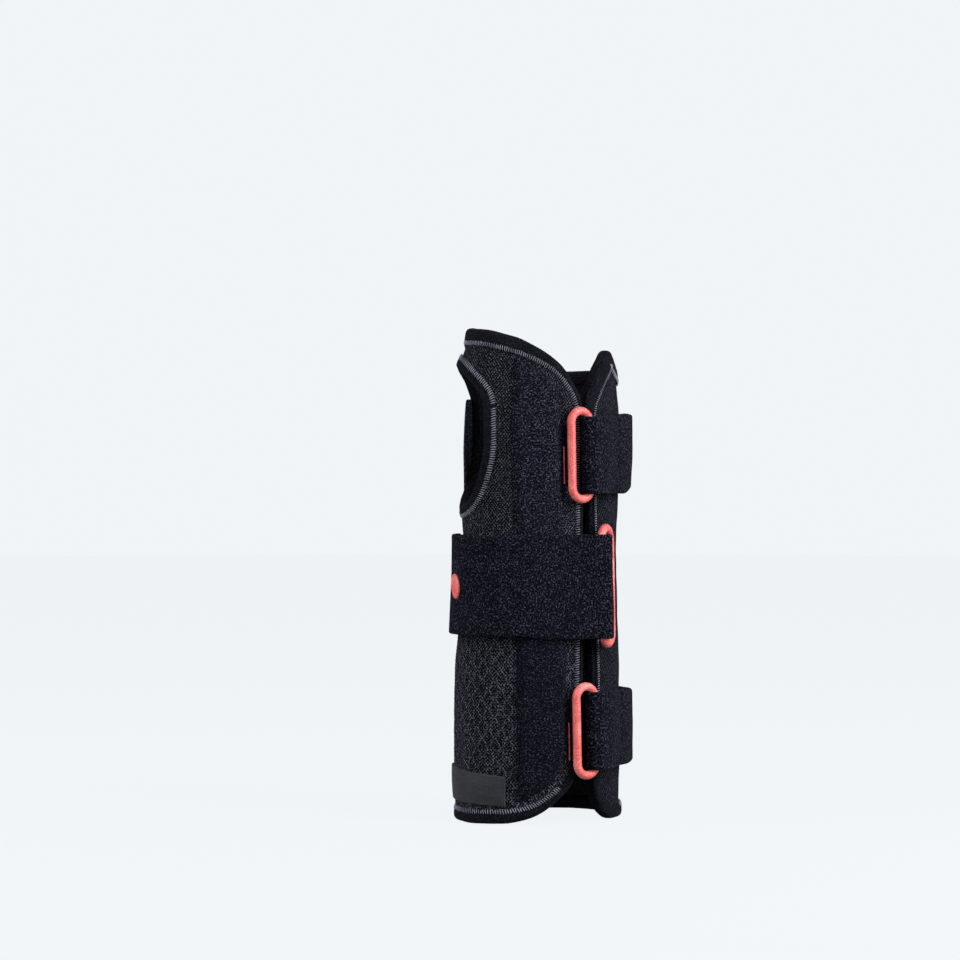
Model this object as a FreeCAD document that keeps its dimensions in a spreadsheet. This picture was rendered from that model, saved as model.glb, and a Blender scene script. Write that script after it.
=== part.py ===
import FreeCAD, Part
import math
import os
from Sketcher import Constraint

# Wrist splint for a right hand: a sewn wrap that stands on its straight hem.
# Row frame, millimetres: +Z runs from the forearm hem to the fingers, -Y is the back of the hand,
# +Y the palm, -X the thumb side, +X the little-finger side. The origin is the middle of the hem.
# The wrap is a tube of slightly changing ellipse; "offset" is the distance out from its outer face.

V = FreeCAD.Vector
doc = FreeCAD.newDocument("wrist_splint")
sheet = doc.addObject("Spreadsheet::Sheet", "sizes")

SIZES = [
    # the wrap: half widths at five heights, half depths at the hem and at the top
    ("overall_length", 205.0), ("half_width_hem", 37.5), ("half_width_forearm", 38.0),
    ("half_width_wrist", 36.8), ("half_width_palm", 39.4), ("half_width_top", 33.5),
    ("half_depth_hem", 30.5), ("half_depth_top", 23.0), ("top_lean", -2.0),
    ("forearm_height", 60.0), ("wrist_height", 115.0), ("palm_height", 165.0),
    # fabric layers
    ("panel_thickness", 2.2), ("lining_thickness", 1.1), ("layer_gap", 0.1),
    ("binding_thickness", 0.7), ("binding_width", 5.5), ("thumb_binding_width", 4.5),
    ("tongue_thickness", 1.5), ("tongue_half_width", 17.0), ("tongue_low", 24.0), ("tongue_high", 171.0),
    # dorsal stay and the loop-fabric pocket sewn over it
    ("pocket_outer_x", 28.0), ("pocket_inner_x", 10.0), ("pocket_inset", 7.0), ("pocket_offset", 2.3),
    ("dorsal_stay_outer_x", 25.0), ("dorsal_stay_inner_x", 12.0), ("dorsal_stay_inset", 15.0),
    ("dorsal_stay_low", 0.5), ("dorsal_stay_high", 1.7),
    # palm side: loop panel, pocket and the straight removable stay
    ("loop_panel_half_width", 27.0), ("loop_panel_low", 15.0), ("loop_panel_high", 176.0),
    ("loop_panel_offset", 1.2), ("thumb_clearance", 5.0),
    ("volar_pocket_half_width", 13.0), ("volar_pocket_inset", 3.0), ("volar_pocket_offset", 4.7),
    ("volar_stay_width", 14.0), ("volar_stay_thickness", 1.2), ("volar_stay_length", 150.0),
    ("volar_stay_offset", 1.7), ("volar_stay_low", 22.0), ("volar_stay_corner", 6.5),
    ("stay_clearance", 0.4), ("seam_tape_half_width", 6.0), ("seam_tape_gap", 1.5),
    ("seam_tape_high", 181.0),
    # plastic rings: two bars a pitch apart, joined by half rounds
    ("ring_bar_radius", 1.75), ("ring_pitch", 9.8), ("ring_standoff", 3.8),
    ("ring_height", 40.0), ("wrist_ring_height", 51.5), ("ring_tilt", 0.0), ("wrist_ring_tilt", 18.0),
    ("flange_width", 3.4), ("flange_length", 25.0), ("flange_base", 0.8), ("flange_top", 2.3),
    ("flange_groove_radius", 1.95), ("groove_overrun", 1.0),
    # straps
    ("strap_width", 32.0), ("wrist_strap_width", 43.0), ("strap_thickness", 2.3),
    ("strap_offset", 2.3), ("strap_base_offset", 0.85), ("strap_base_thickness", 1.0),
    ("strap_base_start", 1.5), ("strap_base_end", 76.0), ("wrist_base_end", 12.5),
    ("strap_start", 16.0), ("strap_end", 148.0), ("hook_tab_start", 114.0), ("hook_tab_end", 140.0),
    ("hook_tab_inset", 1.5), ("hook_tab_offset", 1.9), ("hook_tab_thickness", 0.35),
    # the strap's turn over the free bar: degrees round the bar, and where it reaches the band
    ("fold_gap", 0.3), ("fold_thickness", 1.9), ("fold_start", 168.0), ("fold_stop", 60.0),
    ("fold_reach", 12.5), ("fold_lead", 1.5), ("fold_near_drop", 1.6), ("fold_far_drop", 2.2),
    ("fold_clearance", 0.2),
    ("distal_strap_height", 152.3), ("wrist_strap_height", 98.0), ("proximal_strap_height", 38.5),
    ("button_half_height", 5.3), ("button_half_width", 3.3), ("button_thickness", 1.4),
    ("button_round", 0.7), ("button_angle", -99.0), ("button_gap", 0.2),
    ("backing_radius", 3.0), ("backing_thickness", 0.6), ("backing_gap", 0.5),
    # woven label near the hem
    ("label_low", 7.0), ("label_high", 21.2), ("label_x", 31.5), ("label_thickness", 0.7),
]
for row, (alias, value) in enumerate(SIZES, start=1):
    sheet.set("A%d" % row, alias)
    sheet.set("B%d" % row, str(value))
    sheet.setAlias("B%d" % row, alias)
doc.recompute()

size = {alias: float(sheet.get(alias)) for alias, _ in SIZES}
LENGTH = size["overall_length"]
BINDING = size["binding_thickness"]
GAP = size["layer_gap"]
FAR = 60.0          # farther from the axis than any fabric
BEYOND = 10.0       # how far the cutting shapes pass the wrap's ends
SECTION_LOW, SECTION_STEP, SECTIONS = -8.0, 13.4, 17
LINING_TOP = -size["panel_thickness"] - GAP
LINING_FACE = LINING_TOP - size["lining_thickness"]
BINDING_INNER = LINING_FACE - BINDING


# ---- the wrap's form ------------------------------------------------------------------------

def half_width(z):
    """Half the wrap's width at height z: a smooth curve through the five driving widths."""
    heights = [0.0, size["forearm_height"], size["wrist_height"], size["palm_height"], LENGTH]
    widths = [size["half_width_" + part] for part in ("hem", "forearm", "wrist", "palm", "top")]

    def slope(k):
        low, high = max(k - 1, 0), min(k + 1, len(heights) - 1)
        return (widths[high] - widths[low]) / (heights[high] - heights[low])

    span = 0
    while span < len(heights) - 2 and z > heights[span + 1]:
        span += 1
    run = heights[span + 1] - heights[span]
    t = (z - heights[span]) / run
    return (widths[span] * (2 * t ** 3 - 3 * t ** 2 + 1) + widths[span + 1] * (3 * t ** 2 - 2 * t ** 3)
            + run * (slope(span) * (t ** 3 - 2 * t ** 2 + t) + slope(span + 1) * (t ** 3 - t ** 2)))


def half_depth(z):
    return size["half_depth_hem"] + (size["half_depth_top"] - size["half_depth_hem"]) * z / LENGTH


def lean(z):
    return size["top_lean"] * z / LENGTH


def surface(angle, z, offset=0.0):
    """The point on the wrap at an angle from the back of the hand (positive to the little finger)."""
    turn = math.radians(angle)
    return V((half_width(z) + offset) * math.sin(turn),
             lean(z) - (half_depth(z) + offset) * math.cos(turn), z)


def tube(offset):
    """The filled form out to an offset, a little longer than the wrap at both ends."""
    stations = [SECTION_LOW + SECTION_STEP * step for step in range(SECTIONS)]
    sections = []
    for z in stations:
        ellipse = Part.Ellipse(V(0, lean(z), z), half_width(z) + offset, half_depth(z) + offset)
        sections.append(Part.Wire(ellipse.toShape()))
    return Part.makeLoft(sections, True, False)


TUBES = {}


def filled(offset):
    key = round(offset, 3)
    if key not in TUBES:
        TUBES[key] = tube(offset)
    return TUBES[key]


def layer(low, high, region):
    """The fabric layer between two offsets, within a region."""
    return filled(high).common(region).cut(filled(low))


# ---- outlines, drawn in the XZ plane ----------------------------------------------------------

def curve(points):
    spline = Part.BSplineCurve()
    spline.interpolate([V(x, 0, z) for x, z in points])
    return spline.toShape()


def outline(*pieces):
    """A face from corner points and smooth curves (lists of points), joined by straight lines."""
    edges = []
    ends = [(piece[0], piece[-1]) if isinstance(piece, list) else (piece, piece) for piece in pieces]
    for index, piece in enumerate(pieces):
        if isinstance(piece, list):
            edges.append(curve(piece))
        start, stop = ends[index][1], ends[(index + 1) % len(pieces)][0]
        if start != stop:
            edges.append(Part.makeLine(V(start[0], 0, start[1]), V(stop[0], 0, stop[1])))
    return Part.Face(Part.Wire(Part.__sortEdges__(edges)))


HEM = BINDING
RADIAL_TOP, ULNAR_TOP = LENGTH - BINDING, 188.5
DORSAL_RADIAL = outline(
    [(-1.6, 60.0), (-2.4, 38.0), (-6.1, 19.6), (-13.0, 11.7), (-22.7, 4.6), (-34.0, HEM)],
    (-FAR, HEM), (-FAR, RADIAL_TOP),
    [(-34.0, RADIAL_TOP), (-23.5, 198.9), (-10.8, 190.5), (-3.4, 182.0), (-0.7, 177.6), (1.0, 172.5),
     (1.2, 163.0), (0.9, 150.0)])
DORSAL_ULNAR = outline(
    [(4.8, 60.0), (3.6, 30.0), (4.4, 12.0), (13.0, HEM)],
    (FAR, HEM), (FAR, ULNAR_TOP),
    [(34.0, ULNAR_TOP), (28.6, 190.3), (24.6, 193.2), (21.3, 194.9), (18.2, 193.9), (15.0, 190.9),
     (11.2, 187.0), (5.9, 179.0), (3.9, 174.0), (3.6, 168.0), (4.2, 158.0), (4.8, 150.0)])
VOLAR = outline(
    (-FAR, HEM), (FAR, HEM), (FAR, ULNAR_TOP),
    [(34.0, ULNAR_TOP), (19.0, 187.8), (0.0, 188.0), (-13.0, 194.0), (-25.5, 203.2), (-34.0, RADIAL_TOP)],
    (-FAR, RADIAL_TOP))


def prism(face, side):
    """An outline pushed through the back (side -1) or the palm side (side +1) of the wrap."""
    return face.extrude(V(0, side * FAR, 0))


def resized(face, grow):
    """The outline moved out by a distance (in, where negative), with plain lines and smooth curves."""
    edges = []
    for edge in face.makeOffset2D(grow).OuterWire.OrderedEdges:
        if isinstance(edge.Curve, (Part.Line, Part.LineSegment)):
            edges.append(Part.makeLine(edge.Vertexes[0].Point, edge.Vertexes[-1].Point))
        else:
            spline = Part.BSplineCurve()
            spline.interpolate(edge.discretize(13))
            edges.append(spline.toShape())
    return Part.Face(Part.Wire(Part.__sortEdges__(edges)))


def slab(x_low, x_high, z_low, z_high, side=0):
    y_low = -FAR if side <= 0 else 0.0
    depth = 2 * FAR if side == 0 else FAR
    return Part.makeBox(x_high - x_low, depth, z_high - z_low, V(x_low, y_low, z_low))


def sector(start, stop, z_low, z_high):
    """A wedge about the axis between two angles."""
    steps = max(2, int(abs(stop - start) / 12))
    middle = (z_low + z_high) / 2
    rim = [surface(start + (stop - start) * k / steps, middle, FAR) for k in range(steps + 1)]
    corners = [V(0, lean(middle), z_low)] + [V(p.x, p.y, z_low) for p in rim]
    return Part.Face(Part.makePolygon(corners + corners[:1])).extrude(V(0, 0, z_high - z_low))


RADIAL_HALF = slab(-FAR, 0.0, -BEYOND, LENGTH + BEYOND, side=1)
ULNAR_HALF = slab(0.0, FAR, -BEYOND, LENGTH + BEYOND, side=1)


def wrap_region(dorsal, volar_half, grow=0.0):
    back = resized(dorsal, grow) if grow else dorsal
    palm = resized(VOLAR, grow) if grow else VOLAR
    return prism(back, -1).fuse(prism(palm, 1).common(volar_half))


# The thumb hole, as angle round the wrap and height. It is cut square to the fabric all round by a
# tool whose sides follow the fabric's own normals between two planes, one inside and one outside.
THUMB_OUTLINE = [(-91.0, 183.2), (-75.5, 176.0), (-72.3, 168.0), (-73.0, 153.0), (-83.5, 139.0),
                 (-98.0, 132.3), (-115.0, 131.5), (-130.0, 134.5), (-145.0, 143.0), (-151.0, 160.0),
                 (-144.0, 181.0), (-127.0, 189.3), (-108.0, 188.0)]
THUMB_OUT = V(-0.852, 0.521, 0)
THUMB_PLANES = (22.0, 44.0)
THUMB_SPOTS = 28


def normal(angle, z):
    turn = math.radians(angle)
    return V(half_depth(z) * math.sin(turn), -half_width(z) * math.cos(turn), 0).normalize()


def fabric_scale(angle, z):
    """Millimetres along the fabric for one degree of angle."""
    turn = math.radians(angle)
    return math.radians(math.hypot(half_width(z) * math.cos(turn), half_depth(z) * math.sin(turn)))


def thumb_tool(grow=0.0):
    smooth = Part.BSplineCurve()
    smooth.interpolate([V(angle, z, 0) for angle, z in THUMB_OUTLINE], PeriodicFlag=True)
    spots = []
    for k in range(THUMB_SPOTS):
        parameter = smooth.FirstParameter + (smooth.LastParameter - smooth.FirstParameter) * k / THUMB_SPOTS
        point, tangent = smooth.value(parameter), smooth.tangent(parameter)[0]
        scale = fabric_scale(point.x, point.y)
        out = V(tangent.y, -tangent.x * scale, 0).normalize()
        spots.append((point.x - grow * out.x / scale, point.y - grow * out.y))
    wires = []
    for distance in THUMB_PLANES:
        points = []
        for angle, z in spots:
            foot, away = surface(angle, z), normal(angle, z)
            points.append(foot + away * ((distance - foot.dot(THUMB_OUT)) / away.dot(THUMB_OUT)))
        ring = Part.BSplineCurve()
        ring.interpolate(points, PeriodicFlag=True)
        wires.append(Part.Wire(ring.toShape()))
    return Part.makeLoft(wires, True, True)


# ---- document objects ---------------------------------------------------------------------------

NODES = []


def keep(name, item):
    item.Label = name
    NODES.append(item)
    return item


def add_fabric(name, shape):
    """A sewn layer: its shape comes from the sheet's sizes through the functions above."""
    item = doc.addObject("Part::Feature", name)
    item.Shape = shape.removeSplitter()
    item.Placement = FreeCAD.Placement()
    return keep(name, item)


def largest(shape):
    """The main solid of a boolean result, without slivers."""
    return max(shape.Solids, key=lambda solid: solid.Volume)


def add_panels():
    radial = wrap_region(DORSAL_RADIAL, RADIAL_HALF).cut(thumb_tool())
    ulnar = wrap_region(DORSAL_ULNAR, ULNAR_HALF)
    for side, region in (("radial", radial), ("ulnar", ulnar)):
        add_fabric(side + "_panel", largest(layer(-size["panel_thickness"], 0.0, region)))
        add_fabric(side + "_lining", largest(layer(LINING_FACE, LINING_TOP, region)))


def add_edge_binding(name, dorsal, volar_half):
    """Tape folded over the free edge: both faces of the fabric and the edge itself."""
    outer = wrap_region(dorsal, volar_half, BINDING)
    inner = wrap_region(dorsal, volar_half, -size["binding_width"])
    fabric = layer(LINING_FACE - GAP / 2, GAP / 2, wrap_region(dorsal, volar_half, GAP / 2))
    tape = layer(BINDING_INNER, BINDING, outer).cut(inner).cut(fabric)
    add_fabric(name, largest(tape))


def add_thumb_binding():
    clear = wrap_region(DORSAL_RADIAL, RADIAL_HALF, -size["binding_width"] - GAP)
    outer = thumb_tool(size["thumb_binding_width"]).common(clear)
    fabric = layer(LINING_FACE - GAP / 2, GAP / 2, outer.cut(thumb_tool(-GAP / 2)))
    tape = layer(BINDING_INNER, BINDING, outer.cut(thumb_tool(-BINDING))).cut(fabric)
    add_fabric("thumb_binding", largest(tape))


def add_tongue():
    top = BINDING_INNER - 2 * GAP
    strip = slab(-size["tongue_half_width"], size["tongue_half_width"],
                 size["tongue_low"], size["tongue_high"], side=-1)
    add_fabric("dorsal_tongue", largest(layer(top - size["tongue_thickness"], top, strip)))


def add_dorsal_stay():
    pocket_strip = slab(-size["pocket_outer_x"], -size["pocket_inner_x"], 0, LENGTH, side=-1)
    outer_x, inner_x = -size["dorsal_stay_outer_x"], -size["dorsal_stay_inner_x"]
    stay_strip = slab(outer_x, inner_x, 0, LENGTH, side=-1)
    room_strip = slab(outer_x - GAP, inner_x + GAP, 0, LENGTH, side=-1)
    stay_region = prism(resized(DORSAL_RADIAL, -size["dorsal_stay_inset"]), -1)
    room_region = prism(resized(DORSAL_RADIAL, GAP - size["dorsal_stay_inset"]), -1)
    low, high = size["dorsal_stay_low"], size["dorsal_stay_high"]
    pocket_region = prism(resized(DORSAL_RADIAL, -size["pocket_inset"]), -1)
    room = layer(low - GAP, high + GAP, room_strip.common(room_region))
    pocket = layer(GAP, size["pocket_offset"], pocket_strip.common(pocket_region)).cut(room)
    add_fabric("dorsal_stay_pocket", largest(pocket))
    add_fabric("dorsal_stay", largest(layer(low, high, stay_strip.common(stay_region))))


def volar_placement(offset, z):
    """On the palm side's middle line: local Z runs up the line, local Y points out of the palm."""
    foot = surface(180.0, 0.0, offset)
    along = (surface(180.0, LENGTH, offset) - foot).normalize()
    out = V(0, along.z, -along.y)
    turn = FreeCAD.Rotation(V(1, 0, 0), out, along, "ZXY")
    return FreeCAD.Placement(foot + along * (z / along.z), turn)


def add_palm_side():
    half = size["loop_panel_half_width"]
    low, high = size["loop_panel_low"], size["loop_panel_high"]
    panel = layer(GAP, size["loop_panel_offset"], slab(-half, half, low, high, side=1))
    add_fabric("volar_loop_panel", largest(panel.cut(thumb_tool(size["thumb_clearance"]))))

    pocket_half = size["volar_pocket_half_width"]
    clear = size["stay_clearance"]
    room = Part.makeBox(size["volar_stay_width"] + 2 * clear,
                        size["volar_stay_thickness"] + 2 * clear,
                        LENGTH, V(-size["volar_stay_width"] / 2 - clear, -clear, -clear))
    place = volar_placement(size["volar_stay_offset"], size["volar_stay_low"])
    room.Placement = place.multiply(room.Placement)
    inset = size["volar_pocket_inset"]
    strip = slab(-pocket_half, pocket_half, low + inset, high - inset, side=1)
    pocket = layer(size["loop_panel_offset"] + GAP, size["volar_pocket_offset"], strip).cut(room)
    add_fabric("volar_stay_pocket", largest(pocket))

    tape_half = size["seam_tape_half_width"]
    tape_low = size["binding_width"] + size["seam_tape_gap"]
    strip = slab(-tape_half, tape_half, tape_low, size["seam_tape_high"], side=1)
    add_fabric("volar_seam_tape", largest(layer(BINDING_INNER, LINING_FACE - GAP, strip)))


def add_volar_stay():
    """A straight malleable metal bar with rounded corners."""
    body = doc.addObject("PartDesign::Body", "volar_stay")
    sketch = body.newObject("Sketcher::SketchObject", "stay_outline")
    plane = [f for f in body.Origin.OriginFeatures if f.Role == "XZ_Plane"][0]
    sketch.AttachmentSupport = [(plane, "")]
    sketch.MapMode = "FlatFace"
    half, top = size["volar_stay_width"] / 2, size["volar_stay_length"]
    corners = [V(-half, 0, 0), V(half, 0, 0), V(half, top, 0), V(-half, top, 0)]
    for index in range(4):
        sketch.addGeometry(Part.LineSegment(corners[index], corners[(index + 1) % 4]), False)
    for index in range(4):
        sketch.addConstraint(Constraint("Coincident", index, 2, (index + 1) % 4, 1))
    sketch.addConstraint(Constraint("Horizontal", 2))
    for index in (1, 3):
        sketch.addConstraint(Constraint("Vertical", index))
    sketch.addConstraint(Constraint("PointOnObject", 0, 1, -1))
    sketch.addConstraint(Constraint("Symmetric", 0, 1, 0, 2, -2))
    width = sketch.addConstraint(Constraint("DistanceX", 0, 1, 0, 2, 2 * half))
    height = sketch.addConstraint(Constraint("DistanceY", 1, 1, 1, 2, top))
    sketch.setExpression("Constraints[%d]" % width, "sizes.volar_stay_width")
    sketch.setExpression("Constraints[%d]" % height, "sizes.volar_stay_length")
    pad = body.newObject("PartDesign::Pad", "stay_pad")
    pad.Profile = sketch
    pad.setExpression("Length", "sizes.volar_stay_thickness")
    pad.Reversed = True
    doc.recompute()
    upright = ["Edge%d" % (n + 1) for n, edge in enumerate(pad.Shape.Edges)
               if abs(edge.tangentAt(edge.FirstParameter).y) > 0.9]
    fillet = body.newObject("PartDesign::Fillet", "stay_corners")
    fillet.Base = (pad, upright)
    fillet.setExpression("Radius", "sizes.volar_stay_corner")
    body.Tip = fillet
    body.Placement = volar_placement(size["volar_stay_offset"], size["volar_stay_low"])
    keep("volar_stay", body)


def add_label():
    side = slab(-FAR, -size["label_x"], size["label_low"], size["label_high"])
    add_fabric("woven_label", largest(layer(GAP, GAP + size["label_thickness"], side)))


# ---- rings, flanges and straps ------------------------------------------------------------------

def ring_placement(x, z):
    """Over the back of the wrap: local X along the fabric, local Y inwards, local Z up the wrap."""
    turn = math.asin(x / (half_width(z) + size["ring_standoff"]))
    spot = surface(math.degrees(turn), z, size["ring_standoff"])
    yaw = math.atan2(half_depth(z) * math.sin(turn), half_width(z) * math.cos(turn))
    up = (surface(0.0, LENGTH) - surface(0.0, 0.0)).normalize()
    across = V(math.cos(yaw), math.sin(yaw), 0)
    return FreeCAD.Placement(spot, FreeCAD.Rotation(across, V(0, 0, 0), up, "ZXY"))


def tilted(placement, side, angle):
    """The placement turned about the anchor bar, so that the free bar stands off the wrap."""
    hinge = V(side * size["ring_pitch"] / 2, 0, 0)
    turn = FreeCAD.Rotation(V(0, 0, 1), side * angle)
    return placement.multiply(FreeCAD.Placement(V(0, 0, 0), turn, hinge))


def cylinder(name, radius, height):
    item = doc.addObject("Part::Cylinder", name)
    item.setExpression("Radius", radius)
    item.setExpression("Height", height)
    return item


def add_ring(name, height_alias, placement):
    """Two straight bars and two half rounds of one bar radius."""
    straight = "(sizes.%s - sizes.ring_pitch - 2 * sizes.ring_bar_radius)" % height_alias
    parts = []
    for tag, sign in (("left", -1), ("right", 1)):
        bar = cylinder("%s_%s_bar" % (name, tag), "sizes.ring_bar_radius", straight)
        bar.setExpression("Placement.Base.x", "%d * sizes.ring_pitch / 2" % sign)
        bar.setExpression("Placement.Base.z", "-%s / 2" % straight)
        parts.append(bar)
    for tag, sign in (("top", 1), ("bottom", -1)):
        bend = doc.addObject("Part::Torus", "%s_%s_bend" % (name, tag))
        bend.setExpression("Radius1", "sizes.ring_pitch / 2")
        bend.setExpression("Radius2", "sizes.ring_bar_radius")
        bend.Angle3 = 180
        bend.Placement.Rotation = FreeCAD.Rotation(V(1, 0, 0), 90 * sign)
        bend.setExpression("Placement.Base.z", "%d * %s / 2" % (sign, straight))
        parts.append(bend)
    ring = doc.addObject("Part::MultiFuse", name)
    ring.Shapes = parts
    ring.Refine = True
    ring.Placement = placement
    return keep(name, ring)


def add_flange(name, side, placement):
    """Sewing flange under the anchor bar: a strip with a trough in which the bar turns."""
    strip = doc.addObject("Part::Box", name + "_strip")
    strip.setExpression("Length", "sizes.flange_width")
    strip.setExpression("Width", "sizes.flange_top - sizes.flange_base")
    strip.setExpression("Height", "sizes.flange_length")
    strip.setExpression("Placement.Base.x", "%d * sizes.ring_pitch / 2 - sizes.flange_width / 2" % side)
    strip.setExpression("Placement.Base.y", "sizes.ring_standoff - sizes.flange_top")
    strip.setExpression("Placement.Base.z", "-sizes.flange_length / 2")
    trough = cylinder(name + "_trough", "sizes.flange_groove_radius",
                      "sizes.flange_length + 2 * sizes.groove_overrun")
    trough.setExpression("Placement.Base.x", "%d * sizes.ring_pitch / 2" % side)
    trough.setExpression("Placement.Base.z", "-sizes.flange_length / 2 - sizes.groove_overrun")
    flange = doc.addObject("Part::Cut", name)
    flange.Base = strip
    flange.Tool = trough
    flange.Placement = placement
    return keep(name, flange)


FOLD_STEPS = 9


def strap_fold(side, placement, width, tilt):
    """The strap's turn over the free bar, as a plan outline pushed along the bar.

    The middle line goes round the bar from the side facing the anchor bar, over the top, and then
    straight down to the band lying on the wrap.
    """
    inner = size["ring_bar_radius"] + size["fold_gap"]
    thick = size["fold_thickness"]
    pitch = size["ring_pitch"]
    bar_x = side * (pitch / 2 - pitch * math.cos(math.radians(tilt)))
    bar_y = -pitch * math.sin(math.radians(tilt))
    away = -side                     # direction in which the strap leaves the bar
    start, stop = size["fold_start"], size["fold_stop"]
    turns = [start + (stop - start) * k / FOLD_STEPS for k in range(FOLD_STEPS + 1)]
    near, far = [], []
    for turn in turns:
        cos, sin = math.cos(math.radians(turn)), math.sin(math.radians(turn))
        near.append(V(bar_x + away * inner * cos, bar_y - inner * sin, 0))
        far.append(V(bar_x + away * (inner + thick) * cos, bar_y - (inner + thick) * sin, 0))
    reach = size["fold_reach"]
    drop = size["ring_standoff"] - size["strap_offset"]
    near.append(V(bar_x + away * reach, drop + size["fold_near_drop"], 0))
    far.append(V(bar_x + away * (reach + size["fold_lead"]),
                 drop + size["fold_far_drop"] - size["strap_thickness"], 0))
    loop = near + far[::-1]
    face = Part.Face(Part.makePolygon(loop + loop[:1]))
    solid = face.extrude(V(0, 0, width))
    solid.translate(V(0, 0, -width / 2))
    solid.Placement = placement.multiply(solid.Placement)
    return solid


def add_strap(tag, side, x, z, width):
    """side is -1 where the ring is anchored on the thumb side, +1 where on the little-finger side."""
    kind = "wrist_ring" if tag == "wrist" else "ring"
    height_alias, tilt = kind + "_height", size[kind + "_tilt"]
    placement = ring_placement(x, z)
    add_ring("ring_" + tag, height_alias, tilted(placement, side, tilt))
    add_flange("ring_flange_" + tag, side, placement)

    away = -side
    low, high = z - width / 2, z + width / 2
    free_bar = math.degrees(math.asin((x + away * size["ring_pitch"] / 2) / half_width(z)))
    offset, thick = size["strap_offset"], size["strap_thickness"]
    start, stop = free_bar + away * size["strap_start"], away * size["strap_end"]
    band = layer(offset, offset + thick, sector(start, stop, low, high))
    straight = size[height_alias] - size["ring_pitch"] - 2 * size["ring_bar_radius"]
    fold = strap_fold(side, placement, straight - size["fold_clearance"], tilt)
    add_fabric("strap_" + tag, largest(band.fuse(fold)))

    base_low = size["strap_base_offset"]
    base_end = away * size["wrist_base_end" if tag == "wrist" else "strap_base_end"]
    base = layer(base_low, base_low + size["strap_base_thickness"],
                 sector(free_bar + away * size["strap_base_start"], base_end, low, high))
    add_fabric("strap_base_" + tag, largest(base))

    tab_low = size["hook_tab_offset"]
    tab = layer(tab_low, tab_low + size["hook_tab_thickness"],
                sector(away * size["hook_tab_start"], away * size["hook_tab_end"],
                       low + size["hook_tab_inset"], high - size["hook_tab_inset"]))
    add_fabric("hook_tab_" + tag, largest(tab))


def button_placement(offset):
    """On the wrist strap's thumb side: local Z points out of the strap."""
    z = size["wrist_strap_height"]
    spot = surface(size["button_angle"], z, offset)
    turn = math.radians(size["button_angle"])
    out = V(math.sin(turn) * half_depth(z), -math.cos(turn) * half_width(z), 0).normalize()
    return FreeCAD.Placement(spot, FreeCAD.Rotation(V(0, 0, 1), out))


def add_button():
    """An oval plastic button on the strap's face and the small plate that holds it from behind."""
    oval = doc.addObject("Part::Ellipse", "button_oval")
    oval.setExpression("MajorRadius", "sizes.button_half_height")
    oval.setExpression("MinorRadius", "sizes.button_half_width")
    disc = doc.addObject("Part::Extrusion", "button_disc")
    disc.Base = oval
    disc.DirMode = "Custom"
    disc.Dir = V(0, 0, 1)
    disc.Solid = True
    disc.setExpression("LengthFwd", "sizes.button_thickness")
    doc.recompute()
    rim = [n + 1 for n, edge in enumerate(disc.Shape.Edges)
           if edge.Closed and edge.CenterOfMass.z > size["button_thickness"] / 2]
    button = doc.addObject("Part::Fillet", "strap_button")
    button.Base = disc
    button.Edges = [(n, size["button_round"], size["button_round"]) for n in rim]
    strap_face = size["strap_offset"] + size["strap_thickness"]
    button.Placement = button_placement(strap_face + size["button_gap"])
    keep("strap_button", button)
    backing = cylinder("button_backing", "sizes.backing_radius", "sizes.backing_thickness")
    backing_face = size["strap_offset"] - size["backing_gap"]
    backing.Placement = button_placement(backing_face - size["backing_thickness"])
    keep("button_backing", backing)


add_panels()
add_edge_binding("radial_edge_binding", DORSAL_RADIAL, RADIAL_HALF)
add_edge_binding("ulnar_edge_binding", DORSAL_ULNAR, ULNAR_HALF)
add_thumb_binding()
add_tongue()
add_dorsal_stay()
add_palm_side()
add_volar_stay()
add_label()
add_strap("distal", -1, -3.0, size["distal_strap_height"], size["strap_width"])
add_strap("wrist", 1, 8.7, size["wrist_strap_height"], size["wrist_strap_width"])
add_strap("proximal", -1, -2.9, size["proximal_strap_height"], size["strap_width"])
add_button()

doc.recompute()
os.makedirs("parts", exist_ok=True)
for item in doc.Objects:
    if "Invalid" in item.State or "Error" in item.State:
        raise RuntimeError("%s did not compute: %s" % (item.Name, item.State))
for node in NODES:
    if node.Shape.isNull() or not node.Shape.isValid() or not node.Shape.Solids:
        raise RuntimeError("%s has no valid solid" % node.Label)
for node in NODES:
    node.Shape.exportStep("parts/%s.step" % node.Label)
    box = node.Shape.BoundBox
    print("%-22s %d solid %9.0f mm3  z %.1f to %.1f" % (
        node.Label, len(node.Shape.Solids), node.Shape.Volume, box.ZMin, box.ZMax))
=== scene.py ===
"""Wrist splint: cloth, stitching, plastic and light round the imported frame.

The helpers work in millimetres. Cloth is laid out flat first: s runs round the wrap from the middle
of the back (plus to the little finger, minus to the thumb) and z runs up it.
"""
import math

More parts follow.
